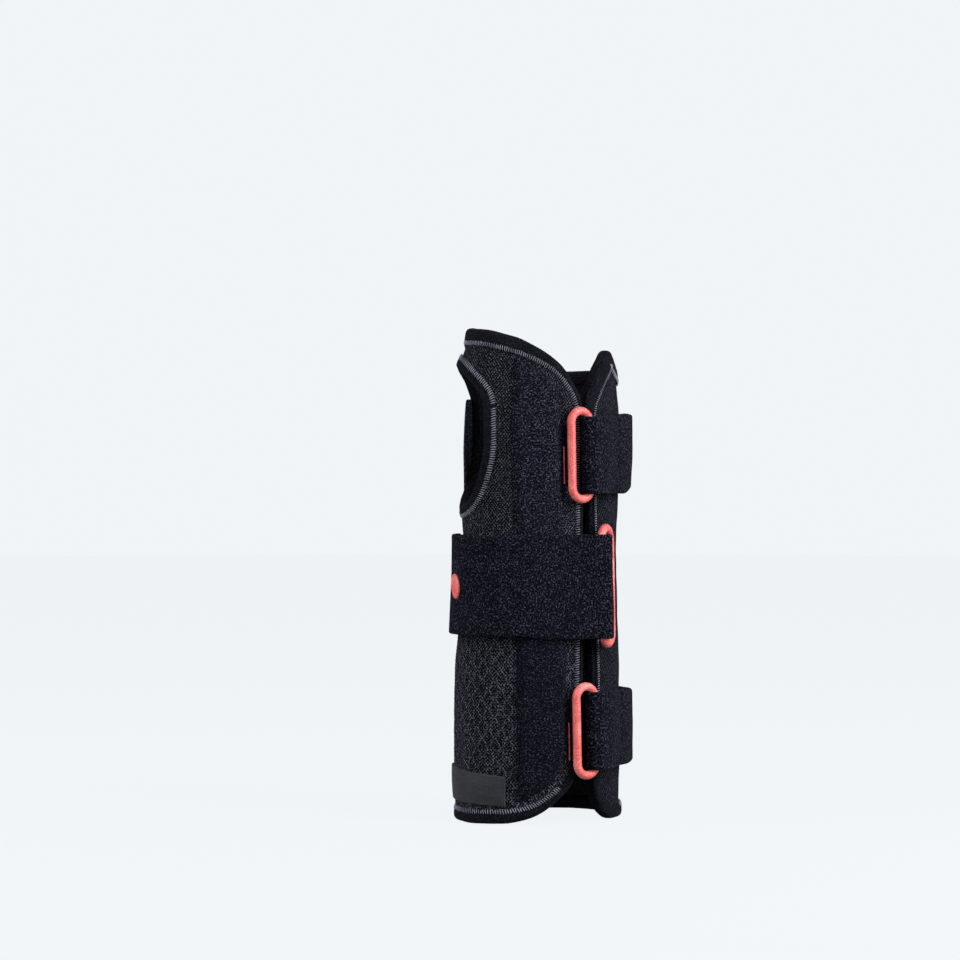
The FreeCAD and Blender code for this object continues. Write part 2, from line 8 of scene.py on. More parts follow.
import bmesh
import bpy
import numpy as np
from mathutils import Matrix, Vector


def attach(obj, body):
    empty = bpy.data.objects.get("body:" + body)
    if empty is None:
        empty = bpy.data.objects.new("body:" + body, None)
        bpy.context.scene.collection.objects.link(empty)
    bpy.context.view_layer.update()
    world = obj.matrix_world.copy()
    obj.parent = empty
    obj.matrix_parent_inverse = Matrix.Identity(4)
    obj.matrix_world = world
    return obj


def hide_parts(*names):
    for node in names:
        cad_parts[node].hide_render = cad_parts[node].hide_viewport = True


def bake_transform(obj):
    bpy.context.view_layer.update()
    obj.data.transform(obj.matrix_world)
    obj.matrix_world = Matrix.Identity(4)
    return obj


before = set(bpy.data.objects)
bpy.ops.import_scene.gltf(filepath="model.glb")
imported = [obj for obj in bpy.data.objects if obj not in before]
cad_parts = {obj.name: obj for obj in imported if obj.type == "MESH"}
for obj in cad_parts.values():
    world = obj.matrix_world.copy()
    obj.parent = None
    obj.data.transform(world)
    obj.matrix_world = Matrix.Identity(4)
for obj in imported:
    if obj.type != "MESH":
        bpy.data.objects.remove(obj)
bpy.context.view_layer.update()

# ---- camera ----

VIEW_TURN = math.radians(40.0)
LOOK = Vector((math.sin(VIEW_TURN), math.cos(VIEW_TURN), 0.0))
RIGHT = Vector((math.cos(VIEW_TURN), -math.sin(VIEW_TURN), 0.0))
CAMERA_DISTANCE = 1.141
camera_data = bpy.data.cameras.new("camera")
camera_data.sensor_width = 36.0
camera_data.lens = 101.25
camera = bpy.data.objects.new("camera", camera_data)
camera.location = -LOOK * CAMERA_DISTANCE - RIGHT * 0.0247 + Vector((0.0, 0.0, 0.142))
camera.rotation_euler = (math.pi / 2, 0.0, -VIEW_TURN)
bpy.context.scene.collection.objects.link(camera)
bpy.context.scene.camera = camera

# ---- the wrap's form ----

LENGTH = 205.0
HEIGHTS = np.array([0.0, 60.0, 115.0, 165.0, LENGTH])
WIDTHS = np.array([37.5, 38.0, 36.8, 39.4, 33.5])
LOWER = np.maximum(np.arange(5) - 1, 0)
UPPER = np.minimum(np.arange(5) + 1, 4)
SLOPES = (WIDTHS[UPPER] - WIDTHS[LOWER]) / (HEIGHTS[UPPER] - HEIGHTS[LOWER])


def half_width(z):
    k = np.clip(np.searchsorted(HEIGHTS, z, side="right") - 1, 0, 3)
    run = HEIGHTS[k + 1] - HEIGHTS[k]
    t = (z - HEIGHTS[k]) / run
    return (WIDTHS[k] * (2 * t ** 3 - 3 * t ** 2 + 1) + WIDTHS[k + 1] * (3 * t ** 2 - 2 * t ** 3)
            + run * (SLOPES[k] * (t ** 3 - 2 * t ** 2 + t) + SLOPES[k + 1] * (t ** 3 - t ** 2)))


def half_depth(z):
    return 30.5 - 7.5 * z / LENGTH


def surface(angle, z, offset=0.0):
    """Points at an angle in degrees from the back of the hand, a height, and a distance out."""
    turn = np.radians(angle)
    x = (half_width(z) + offset) * np.sin(turn)
    y = -2.0 * z / LENGTH - (half_depth(z) + offset) * np.cos(turn)
    return np.stack(np.broadcast_arrays(x, y, np.asarray(z, float)), -1)


TABLE_ANGLES = np.linspace(-220.0, 220.0, 1761)
_steps = np.radians(0.25) * np.hypot(37.2 * np.cos(np.radians(TABLE_ANGLES[:-1] + 0.125)),
                                     26.8 * np.sin(np.radians(TABLE_ANGLES[:-1] + 0.125)))
TABLE_ARCS = np.concatenate([[0.0], np.cumsum(_steps)])
TABLE_ARCS -= np.interp(0.0, TABLE_ANGLES, TABLE_ARCS)
HALF_ROUND = float(np.interp(180.0, TABLE_ANGLES, TABLE_ARCS))


def arc(angle):
    return np.interp(angle, TABLE_ANGLES, TABLE_ARCS)


def smooth(edge0, edge1, x):
    t = np.clip((x - edge0) / (edge1 - edge0), 0.0, 1.0)
    return t * t * (3 - 2 * t)


def worn_shape(s, z):
    """How far the cloth on the arm leaves the plain form: out over the thumb web, in at the ulnar hem."""
    web = 1.3 * smooth(30, 50, -s) * smooth(100, 86, -s) * smooth(172, 188, z)
    lip = 2.6 * np.exp(-((s + 67) / 13) ** 2 - ((z - 187) / 8) ** 2)
    taper = 2.4 * smooth(26, 50, s) * smooth(100, 86, s) * smooth(32, 6, z)
    return web + lip - taper


def place(s, z, offset=0.0):
    return surface(np.interp(s, TABLE_ARCS, TABLE_ANGLES), z, offset + worn_shape(s, z))


def back_s(x, z):
    """Flat s of a point on the back of the hand at a given x."""
    share = np.clip(x / half_width(z), -0.9999, 0.9999)
    return arc(np.degrees(np.arcsin(share)))


def palm_s(x, z, side):
    share = np.clip(x / half_width(z), -0.9999, 0.9999)
    return arc(side * 180.0 - np.degrees(np.arcsin(share)))


def ripple(u, v, seed, length, count=7):
    """Smooth uneven waves, about -1 to 1, roughly that many millimetres long."""
    rng = np.random.default_rng(seed)
    total = 0.0
    for _ in range(count):
        turn, phase, share = rng.uniform(0, math.pi), rng.uniform(0, 2 * math.pi), rng.uniform(0.7, 1.5)
        along = u * math.cos(turn) + v * math.sin(turn)
        total = total + np.sin(2 * math.pi * along / (length * share) + phase)
    return total * 1.3 / count


def spline(points, per=16):
    """A dense Catmull-Rom line through rows of points."""
    p = np.asarray(points, float)
    p = np.concatenate([2 * p[:1] - p[1:2], p, 2 * p[-1:] - p[-2:-1]])
    t = (np.arange(per) / per)[:, None]
    rows = [0.5 * (2 * b + (c - a) * t + (2 * a - 5 * b + 4 * c - d) * t ** 2
                   + (3 * b - a - 3 * c + d) * t ** 3)
            for a, b, c, d in zip(p[:-3], p[1:-2], p[2:-1], p[3:])]
    return np.concatenate(rows + [p[-2:-1]])


def evenly(line, step, closed=False):
    """The line again, with points a step apart."""
    if closed:
        line = np.concatenate([line, line[:1]])
    run = np.concatenate([[0.0], np.cumsum(np.linalg.norm(np.diff(line, axis=0), axis=1))])
    count = max(2, int(round(run[-1] / step)))
    at = np.linspace(0, run[-1], count + 1)
    if closed:
        at = at[:-1]
    return np.stack([np.interp(at, run, line[:, k]) for k in range(line.shape[1])], 1)


def softened(line, rounds, closed=False):
    """The line with its corners eased by averaging each point with its neighbours."""
    for _ in range(rounds):
        before, after = np.roll(line, 1, 0), np.roll(line, -1, 0)
        mean = (before + 2 * line + after) / 4
        if not closed:
            mean[0], mean[-1] = line[0], line[-1]
        line = mean
    return line


def frames(line, closed=False):
    """Unit tangents, and the unit direction to the right of the line, in the flat cloth."""
    if closed:
        tangent = np.roll(line, -1, 0) - np.roll(line, 1, 0)
    else:
        tangent = np.gradient(line, axis=0)
    tangent /= np.linalg.norm(tangent, axis=1)[:, None]
    return tangent, np.stack([tangent[:, 1], -tangent[:, 0]], 1)


# ---- outlines in the flat cloth ----

def flat_back(points):
    return np.stack([back_s(points[:, 0], points[:, 1]), points[:, 1]], 1)


def flat_palm(points, side):
    return np.stack([palm_s(points[:, 0], points[:, 1], side), points[:, 1]], 1)


HEM = 0.7
PALM_TOP = spline([(-34, 203.9), (-29.5, 204.7), (-23.5, 202.6), (-13, 194), (0, 188), (19, 187.8),
                   (34, 188.5)], 24)
RADIAL_BACK = np.concatenate([
    spline([(-34, HEM), (-22.7, 4.6), (-13, 11.7), (-6.1, 19.6), (-2.4, 38), (-1.6, 60)], 24),
    [(-1.05, 80), (-0.5, 100), (0.06, 120), (0.62, 140)],
    spline([(0.9, 150), (1.2, 163), (1.0, 172.5), (-0.7, 177.6), (-3.4, 182.0), (-10.8, 190.5),
            (-23.5, 198.5), (-31, 202.0), (-34, 203.9)], 24)])
ULNAR_BACK = np.concatenate([
    spline([(19, HEM), (14, 1.6), (9, 5), (5.2, 11), (4.0, 22), (4.0, 34), (4.8, 60)], 24),
    [(4.8, 80), (4.8, 100), (4.8, 120), (4.8, 140)],
    spline([(4.8, 150), (4.2, 158), (3.6, 168), (3.9, 174), (5.9, 179), (11.2, 187), (15, 190.9),
            (18.6, 194.4), (22.0, 196.2), (24.8, 193.6), (28.6, 190.3), (34, 188.5)], 24)])
PALM_LEFT = PALM_TOP[PALM_TOP[:, 0] <= 0]
PALM_RIGHT = PALM_TOP[PALM_TOP[:, 0] >= 0]
STEP = 0.8
RADIAL_EDGE = softened(evenly(np.concatenate([
    [(-HALF_ROUND, HEM), (-60, HEM), (-49, HEM)], flat_back(RADIAL_BACK)[6:],
    flat_palm(PALM_LEFT, -1)]), STEP), 5)
ULNAR_EDGE = softened(evenly(np.concatenate([
    [(HALF_ROUND, HEM), (45, HEM), (24, HEM)], flat_back(ULNAR_BACK)[6:],
    flat_palm(PALM_RIGHT, 1)[::-1]]), STEP), 4)
THUMB = np.array([(-91, 183.2), (-75.5, 176), (-72.3, 168), (-73, 153), (-83.5, 139), (-98, 132.3),
                  (-115, 131.5), (-130, 134.5), (-145, 143), (-151, 160), (-144, 181), (-127, 189.3),
                  (-108, 188)], float)
_round = np.concatenate([THUMB[-3:], THUMB, THUMB[:3]])
_round = spline(_round, 24)[3 * 24:(3 + len(THUMB)) * 24]
_round = evenly(np.stack([arc(_round[:, 0]), _round[:, 1]], 1), STEP, closed=True)
THUMB_EDGE = softened(_round, 6, closed=True)
THUMB_SEAM = (arc(-72.6), 171)      # where the tape round the hole starts and ends
_start = np.argmin(np.hypot(*(THUMB_EDGE - THUMB_SEAM).T))
THUMB_EDGE = np.roll(THUMB_EDGE, -int(_start), 0)


def inside(s, z, polygon):
    """Even-odd test of many points against one outline."""
    result = np.zeros(np.shape(s), bool)
    for (s0, z0), (s1, z1) in zip(polygon, np.roll(polygon, -1, 0)):
        if z0 != z1:
            result ^= ((z0 > z) != (z1 > z)) & (s < (s1 - s0) * (z - z0) / (z1 - z0) + s0)
    return result


def moved(line, distance, closed=False):
    _, right = frames(line, closed)
    return line + right * distance


# ---- meshes ----

def make_object(name, points, faces, cloth, material):
    """An object from points in millimetres; cloth is the flat coordinate that materials read."""
    mesh = bpy.data.meshes.new(name)
    mesh.from_pydata((np.asarray(points, float) * 0.001).tolist(), [], [tuple(f) for f in faces])
    mesh.polygons.foreach_set("use_smooth", [True] * len(mesh.polygons))
    if cloth is not None:
        flat = np.zeros((len(points), 3))
        flat[:, :np.shape(cloth)[1]] = cloth
        layer = mesh.attributes.new("cloth", "FLOAT_VECTOR", "POINT")
        layer.data.foreach_set("vector", flat.astype(np.float32).ravel())
    mesh.validate()
    mesh.update()
    mesh.materials.append(material)
    obj = bpy.data.objects.new(name, mesh)
    bpy.context.scene.collection.objects.link(obj)
    return obj


def finish_piece(obj, body, slot, *nodes):
    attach(obj, body)
    if nodes:
        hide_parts(*nodes)
    return obj


def grid_faces(rows, columns, start=0, wrap=False):
    """Quads over rows x columns of points; wrap joins the last column to the first."""
    r = np.arange(rows - 1)[:, None]
    c = np.arange(columns if wrap else columns - 1)[None, :]
    n = (c + 1) % columns
    a, b = start + r * columns + c, start + r * columns + n
    d, e = start + (r + 1) * columns + n, start + (r + 1) * columns + c
    return np.stack([a, b, d, e], -1).reshape(-1, 4)


def shell(name, s, z, keep, outer, inner, material):
    """Closed cloth: the kept cells of a grid, with an outer and an inner face and the edges between."""
    rows, columns = s.shape
    count = rows * columns
    points = np.concatenate([place(s, z, outer).reshape(-1, 3), place(s, z, inner).reshape(-1, 3)])
    index = np.arange(count).reshape(rows, columns)
    a, b, c, d = index[:-1, :-1], index[:-1, 1:], index[1:, 1:], index[1:, :-1]
    top = np.stack([a, b, c, d], -1)[keep]
    padded = np.pad(keep, 1)
    sides = []
    for gone, p, q in ((~padded[:-2, 1:-1], a, b), (~padded[1:-1, 2:], b, c),
                       (~padded[2:, 1:-1], c, d), (~padded[1:-1, :-2], d, a)):
        open_edge = keep & gone
        sides.append(np.stack([q, p, p + count, q + count], -1)[open_edge])
    faces = np.concatenate([top, top[:, ::-1] + count] + sides)
    used = np.unique(faces)
    order = np.full(2 * count, -1)
    order[used] = np.arange(len(used))
    flat = np.tile(np.stack([s.ravel(), z.ravel()], 1), (2, 1))
    return make_object(name, points[used], order[faces], flat[used], material)


def patch(name, s, z, outer, inner, material):
    """Closed cloth over a grid whose rim is welded: outer and inner meet at the border."""
    rows, columns = s.shape
    count = rows * columns
    points = np.concatenate([place(s, z, outer).reshape(-1, 3), place(s, z, inner).reshape(-1, 3)])
    faces = grid_faces(rows, columns)
    index = np.arange(count).reshape(rows, columns)
    rim = np.concatenate([index[0, :-1], index[:-1, -1], index[-1, :0:-1], index[:0:-1, 0]])
    after = np.roll(rim, -1)
    sides = np.stack([after, rim, rim + count, after + count], 1)
    flat = np.tile(np.stack([s.ravel(), z.ravel()], 1), (2, 1))
    faces = np.concatenate([faces, faces[:, ::-1] + count, sides])
    return make_object(name, points, faces, flat, material)


def sweep(name, rings, flats, material, closed=False):
    """Skin over rings of points (stations x around); open ends are capped with fans."""
    stations, around = rings.shape[:2]
    faces = list(grid_faces(stations, around, wrap=True))
    points, flat = rings.reshape(-1, 3), flats.reshape(-1, 2)
    if closed:
        last = (stations - 1) * around
        faces += [(last + k, last + (k + 1) % around, (k + 1) % around, k) for k in range(around)]
    else:
        for base, flip in ((0, True), ((stations - 1) * around, False)):
            hub = len(points)
            points = np.concatenate([points, points[base:base + around].mean(0)[None]])
            flat = np.concatenate([flat, flat[base:base + around].mean(0)[None]])
            for k in range(around):
                pair = (base + k, base + (k + 1) % around)
                faces.append((hub, *(pair[::-1] if flip else pair)))
    return make_object(name, points, faces, flat, material)


def fix_normals(obj):
    """Turns all faces outwards."""
    work = bmesh.new()
    work.from_mesh(obj.data)
    bmesh.ops.recalc_face_normals(work, faces=work.faces)
    work.to_mesh(obj.data)
    work.free()
    return obj


# ---- materials ----

class Field:
    """One value running through a material's nodes; arithmetic on it adds Math nodes."""

    def __init__(self, graph, socket):
        self.graph, self.socket = graph, socket

    def __add__(self, other):
        return self.graph.math("ADD", self, other)

    def __sub__(self, other):
        return self.graph.math("SUBTRACT", self, other)

    def __mul__(self, other):
        return self.graph.math("MULTIPLY", self, other)

    __radd__, __rmul__ = __add__, __mul__

    def fold(self, size):
        """A triangle wave from 0 to 1 that touches 0 every two sizes."""
        return self.graph.math("PINGPONG", self, size) * (1.0 / size)

    def above(self, low, high):
        """0 below low, 1 above high, smooth between."""
        node = self.graph.node("MapRange", From_Min=low, From_Max=high)
        node.interpolation_type = "SMOOTHSTEP"
        self.graph.feed(node.inputs["Value"], self)
        return Field(self.graph, node.outputs["Result"])

    def most(self, other):
        return self.graph.math("MAXIMUM", self, other)


class Graph:
    """A material with a Principled shader and the fields that feed it."""

    def __init__(self, name, **constants):
        self.material = bpy.data.materials.new(name)
        self.material.use_nodes = True
        self.tree = self.material.node_tree
        self.shader = self.tree.nodes["Principled BSDF"]
        for key, value in constants.items():
            self.shader.inputs[key.replace("_", " ")].default_value = value
        self.bumped = None

    def node(self, kind, vector=None, **constants):
        node = self.tree.nodes.new("ShaderNode" + kind)
        if vector is not None:
            self.feed(node.inputs["Vector"], vector)
        for key, value in constants.items():
            node.inputs[key.replace("_", " ")].default_value = value
        return node

    def feed(self, socket, value):
        if isinstance(value, Field):
            self.tree.links.new(value.socket, socket)
        elif value is not None:
            socket.default_value = value

    def math(self, operation, a, b=None):
        node = self.node("Math")
        node.operation = operation
        self.feed(node.inputs[0], a)
        self.feed(node.inputs[1], b)
        return Field(self, node.outputs[0])

    def cloth(self):
        """The flat cloth coordinate in millimetres: the vector, and its two parts."""
        node = self.node("Attribute")
        node.attribute_name = "cloth"
        vector = Field(self, node.outputs["Vector"])
        parts = self.node("SeparateXYZ", vector)
        return vector, Field(self, parts.outputs["X"]), Field(self, parts.outputs["Y"])

    def space(self):
        """The object's own coordinates, in millimetres."""
        where = self.node("TexCoord")
        node = self.node("VectorMath")
        node.operation = "SCALE"
        node.inputs["Scale"].default_value = 1000.0
        self.tree.links.new(where.outputs["Object"], node.inputs[0])
        return Field(self, node.outputs["Vector"])

    def stretched(self, vector, x, y, z=1.0):
        node = self.node("Mapping", vector, Scale=(x, y, z))
        return Field(self, node.outputs["Vector"])

    def noise(self, vector, size, detail=2.0, rough=0.5):
        node = self.node("TexNoise", vector, Scale=1.0 / size, Detail=detail, Roughness=rough)
        return Field(self, node.outputs["Fac"])

    def cells(self, vector, size):
        node = self.node("TexVoronoi", vector, Scale=1.0 / size)
        return Field(self, node.outputs["Distance"])

    def ramp(self, value, stops):
        """A colour from a value, through (position, colour) stops."""
        node = self.node("ValToRGB")
        self.feed(node.inputs["Fac"], value)
        elements = node.color_ramp.elements
        while len(elements) < len(stops):
            elements.new(0.5)
        for element, (position, colour) in zip(elements, stops):
            element.position = position
            element.color = (*colour, 1.0)
        return Field(self, node.outputs["Color"])

    def bump(self, height, distance, strength=1.0):
        """Adds relief: height times distance, in metres."""
        node = self.node("Bump", Distance=distance, Strength=strength)
        self.feed(node.inputs["Height"], height)
        if self.bumped is not None:
            self.tree.links.new(self.bumped, node.inputs["Normal"])
        self.bumped = node.outputs["Normal"]
        self.tree.links.new(self.bumped, self.shader.inputs["Normal"])

    def colour(self, value, stops):
        self.feed(self.shader.inputs["Base Color"], self.ramp(value, stops))

    def roughness(self, value):
        self.feed(self.shader.inputs["Roughness"], value)


def grey(level, blue=1.25):
    return (level, level * 1.02, level * blue)


CLOTH_LOOK = dict(Roughness=0.95, Sheen_Weight=0.02, Sheen_Roughness=0.5,
                  Sheen_Tint=(0.75, 0.78, 1.0, 1.0), Specular_IOR_Level=0.03)


def mesh_material():
    """Spacer mesh: a fine diagonal net over black holes, and a faint honeycomb of cords low down."""
    g = Graph("spacer_mesh", **CLOTH_LOOK)
    vector, s, z = g.cloth()
    fine = (g.noise(vector, 1.6, 1.0) - 0.5) * 0.8
    up = ((s * 0.8 + z * 0.6) + fine).fold(0.5)
    down = ((s * 0.75 - z * 0.66) + fine).fold(0.5)
    glint = g.noise(vector, 0.75, 2.0, 0.6)
    patchy = g.noise(vector, 6.0, 3.0, 0.6)
    wander = (g.noise(vector, 8.0) - 0.5) * 1.6
    zigzag = (z.fold(4.0) - 0.5) * 1.7
    one = (s + zigzag + wander).fold(2.5)
    two = (s - zigzag + wander).fold(2.5)
    cord = one.most(g.math("SUBTRACT", 1.0, two)).above(0.78, 0.95) * z.above(150.0, 100.0)
    net = up.most(down).above(0.5, 0.95)
    level = net * glint.above(0.34, 0.62) * (patchy * 1.0 + 0.4) + cord * glint.above(0.35, 0.6) * 0.5
    g.colour(level, [(0.0, grey(0.001, 1.4)), (0.3, grey(0.008, 1.5)), (0.65, grey(0.05, 1.4)),
                     (1.0, grey(0.13, 1.25))])
    g.bump(net, 0.0004, 0.9)
    g.bump(glint, 0.0003, 0.7)
    return g.material


def ribbed_material():
    """Ribbed knit: slanting ribs of small loops."""
    g = Graph("ribbed_knit", **CLOTH_LOOK)
    vector, s, z = g.cloth()
    fine = (g.noise(vector, 1.3, 1.0) - 0.5) * 0.6
    ribs = (s * 0.87 + z * 0.5 + fine).fold(0.6)
    loops = (z * 0.87 - s * 0.5 + fine).fold(0.5)
    glint = g.noise(vector, 0.75, 2.0, 0.6)
    patchy = g.noise(vector, 9.0, 2.0)
    level = (ribs * 0.6 + loops * 0.4).above(0.3, 0.9) * glint.above(0.3, 0.66) * (patchy * 0.7 + 0.6)
    g.colour(level, [(0.0, grey(0.0015, 1.4)), (0.3, grey(0.013, 1.6)), (0.65, grey(0.045, 1.4)),
                     (1.0, grey(0.09, 1.3))])
    g.bump(ribs, 0.0004, 0.9)
    g.bump(loops * 0.5 + glint * 0.5, 0.0003, 0.7)
    return g.material


def pile_material(name, dark, light, size=0.8, across=1.0, relief=0.00035, painted_shade=0.0):
    """Short pile: loops that catch the light in small specks; painted shade can darken the forearm end.
    """
    g = Graph(name, **CLOTH_LOOK)
    vector, _, z = g.cloth()
    grain = g.stretched(vector, 1.0, across)
    tufts = g.cells(grain, size * 1.3)
    fine = g.noise(grain, size, 2.0, 0.55)
    patchy = g.noise(vector, 6.0, 3.0, 0.6)
    tips = g.math("SUBTRACT", 1.0, tufts)
    level = fine.above(0.44, 0.63) * (tips.above(0.2, 0.8) * 0.6 + 0.4) * (patchy * 1.1 + 0.4)
    # painted shade: the pile is darkened towards the forearm end, leaving the top lighter
    if painted_shade:
        level = level * (z.above(70.0, 150.0) * painted_shade + (1.0 - painted_shade))
    g.colour(level, [(0.0, grey(dark, 1.8)), (0.25, grey(dark * 4.0, 1.9)), (0.65, grey(light, 1.65)),
                     (1.0, grey(light * 2.0, 1.5))])
    g.bump(fine, relief, 0.8)
    g.bump(tufts, relief * 0.8, -0.6)
    return g.material


def tape_material():
    """Smooth knitted edge tape with fine wales along it."""
    g = Graph("binding_tape", **CLOTH_LOOK)
    vector, _, z = g.cloth()
    fine = g.noise(vector, 0.6, 2.0, 0.6)
    patchy = g.noise(vector, 5.0, 2.0)
    wales = (z + fine * 0.3).fold(0.34)
    level = (wales * 0.3 + fine.above(0.4, 0.7) * 0.7) * (patchy * 0.8 + 0.6)
    g.colour(level, [(0.0, grey(0.0012, 1.4)), (0.4, grey(0.0045, 1.5)), (1.0, grey(0.024, 1.5))])
    g.bump(wales, 0.00015, 0.6)
    g.bump(fine, 0.00022, 0.6)
    return g.material


def terry_material():
    g = Graph("terry_lining", **CLOTH_LOOK)
    vector, _, _ = g.cloth()
    loops = g.cells(vector, 1.1)
    fine = g.noise(vector, 0.5, 3.0, 0.7)
    level = g.math("SUBTRACT", 1.0, loops).above(0.3, 0.95) * 0.6 + fine * 0.4
    g.colour(level, [(0.0, grey(0.004)), (0.5, grey(0.014)), (1.0, grey(0.05))])
    g.bump(loops, 0.0006, -0.9)
    g.bump(fine, 0.0002, 0.6)
    return g.material


def thread_material(name, dark, light):
    g = Graph(name, **{**CLOTH_LOOK, "Sheen_Weight": 0.1, "Roughness": 0.6})
    vector = g.space()
    fine = g.noise(vector, 0.35, 2.0)
    g.colour(fine + (g.noise(vector, 6.0) - 0.5) * 0.7, [(0.25, dark), (0.75, light)])
    g.bump(fine, 0.0001, 0.6)
    return g.material


def plastic_material():
    """Coral plastic with a fine moulded grain."""
    g = Graph("coral_plastic", Roughness=0.42, Specular_IOR_Level=0.45, Subsurface_Weight=0.12,
              Subsurface_Scale=0.0015, Coat_Weight=0.08, Coat_Roughness=0.3)
    g.shader.inputs["Subsurface Radius"].default_value = (1.0, 0.35, 0.25)
    vector = g.space()
    grain = g.noise(vector, 0.45, 3.0, 0.65)
    cloud = g.noise(vector, 7.0)
    g.colour(grain * 0.7 + cloud * 0.3, [(0.33, (0.48, 0.025, 0.025)), (0.5, (0.76, 0.125, 0.12)),
                                         (0.64, (0.95, 0.38, 0.34))])
    g.roughness(grain * 0.25 + 0.32)
    g.bump(grain, 0.00015, 0.55)
    return g.material


def stay_plastic_material():
    g = Graph("stay_plastic", Roughness=0.5)
    vector = g.space()
    grain = g.noise(g.stretched(vector, 1.0, 1.0, 0.2), 0.6, 3.0)
    g.colour(grain, [(0.3, grey(0.02, 1.05)), (0.7, grey(0.045, 1.05))])
    g.bump(grain, 0.0001, 0.4)
    return g.material


def metal_material():
    """Rolled aluminium, brushed along its length."""
    g = Graph("stay_metal", Metallic=1.0, Roughness=0.35)
    vector = g.space()
    brush = g.noise(g.stretched(vector, 1.0, 1.0, 0.03), 0.25, 3.0, 0.6)
    marks = g.noise(vector, 5.0, 3.0, 0.6)
    g.colour(brush * 0.6 + marks * 0.4, [(0.3, (0.2, 0.205, 0.215)), (0.7, (0.34, 0.345, 0.355))])
    g.roughness(brush * 0.3 + 0.4)
    g.bump(brush, 0.00004, 0.4)
    return g.material


def satin_material():
    """Woven satin label: fine floats along the weft."""
    g = Graph("label_satin", Roughness=0.6, Sheen_Weight=0.08, Sheen_Roughness=0.4,
              Specular_IOR_Level=0.2)
    vector, s, z = g.cloth()
    weft = z.fold(0.22)
    warp = (s + weft * 0.2).fold(0.3)
    fine = g.noise(g.stretched(vector, 0.3, 1.0), 0.9, 3.0, 0.6)
    level = weft * 0.35 + warp * 0.25 + fine * 0.4
    g.colour(level, [(0.1, grey(0.003, 1.35)), (0.5, grey(0.02, 1.35)), (0.9, grey(0.065, 1.25))])
    g.bump(weft * 0.6 + warp * 0.4, 0.0001, 0.5)
    g.bump(fine, 0.0002, 0.4)
    return g.material


MESH = mesh_material()
RIBBED = ribbed_material()
TERRY = terry_material()
TAPE = tape_material()
# painted shade darkens the loop fabric towards the forearm end
LOOP = pile_material("loop_fabric", 0.0016, 0.038, 0.66, painted_shade=0.3)
PLUSH = pile_material("strap_plush", 0.0012, 0.027, 0.66, across=0.85)
HOOK = pile_material("hook_tape", 0.006, 0.04, 0.6)
THREAD = thread_material("seam_thread", (0.1, 0.1, 0.135), (0.34, 0.34, 0.42))
PALE_THREAD = thread_material("pale_thread", (0.03, 0.03, 0.045), (0.16, 0.16, 0.2))
PLASTIC = plastic_material()
STAY_PLASTIC = stay_plastic_material()
METAL = metal_material()
SATIN = satin_material()

# ---- panels and linings ----


def honeycomb(s, z):
    """Relief of the cords that draw a honeycomb, 0 to 1, fading out above the wrist."""
    zigzag = (np.abs((z / 4.0) % 2 - 1) - 0.5) * 1.7
    one = 1 - np.abs(((s + zigzag) / 2.5) % 2 - 1)
    two = np.abs(((s - zigzag) / 2.5) % 2 - 1)
    return smooth(0.8, 0.98, np.maximum(one, two)) * smooth(150, 100, z)


def forearm_bulge(s, z):
    """The thumb side stands out a little below the wrist, in millimetres."""
    return 1.3 * smooth(24, 50, -s) * smooth(95, 60, z) * smooth(-6, 22, z)


def region_cells(s, z, edge, sign, hole=None, inset=1.6):
    """Cells whose middles lie inside an outline, kept a little in from it, and outside the hole."""
    middle_s = (s[:-1, :-1] + s[1:, 1:]) / 2
    middle_z = (z[:-1, :-1] + z[1:, 1:]) / 2
    line = moved(edge, sign * inset)
    far = sign * (HALF_ROUND + 5)
    polygon = np.concatenate([[(far, line[0, 1])], line, [(far, line[-1, 1])]])
    keep = inside(middle_s, middle_z, polygon)
    if hole is not None:
        keep &= ~inside(middle_s, middle_z, hole)
    return keep


def panel_grid(sign, step):
    low, high = (-HALF_ROUND, back_s(3.0, 100.0)) if sign < 0 else (3.0, HALF_ROUND)
    s = np.linspace(low, high, int((high - low) / step) + 1)
    z = np.linspace(0.0, LENGTH, int(LENGTH / step) + 1)
    return np.meshgrid(s, z)


# the right of RADIAL_EDGE (walked upwards along the slit) is outside the cloth; of ULNAR_EDGE, inside
THUMB_SIGN = 1 if inside(*THUMB_EDGE[:1].T, moved(THUMB_EDGE, 1.6, True))[0] else -1
THUMB_GROWN = moved(THUMB_EDGE, 1.6 * THUMB_SIGN, True)

PANEL_BACK = -2.2
LINING_FACE, LINING_BACK = -2.3, -3.3


def cloth_layer(name, sign, step, offsets, material, slot, node):
    """One layer of the wrap; offsets gives its outer and inner faces. sign -1 is the thumb side."""
    s, z = panel_grid(sign, step)
    edge, hole = (RADIAL_EDGE, THUMB_GROWN) if sign < 0 else (ULNAR_EDGE, None)
    keep = region_cells(s, z, edge, sign, hole)
    outer, inner = offsets(s, z)
    return finish_piece(shell(name, s, z, keep, outer, inner, material), "wrap", slot, node)


def radial_faces(s, z):
    outer = (-0.2 + 0.22 * honeycomb(s, z) + 0.25 * ripple(s, z, 3, 34.0)
             + 0.12 * ripple(s, z, 5, 11.0) + forearm_bulge(s, z))
    return outer, PANEL_BACK + 0 * s


def ulnar_faces(s, z):
    outer = -0.3 + 0.3 * ripple(s, z, 7, 38.0) + 0.1 * ripple(s, z, 8, 12.0)
    return outer, PANEL_BACK + 0 * s


def lining_faces(seed):
    return lambda s, z: (LINING_FACE + 0 * s, LINING_BACK + 0.12 * ripple(s, z, seed, 9.0))


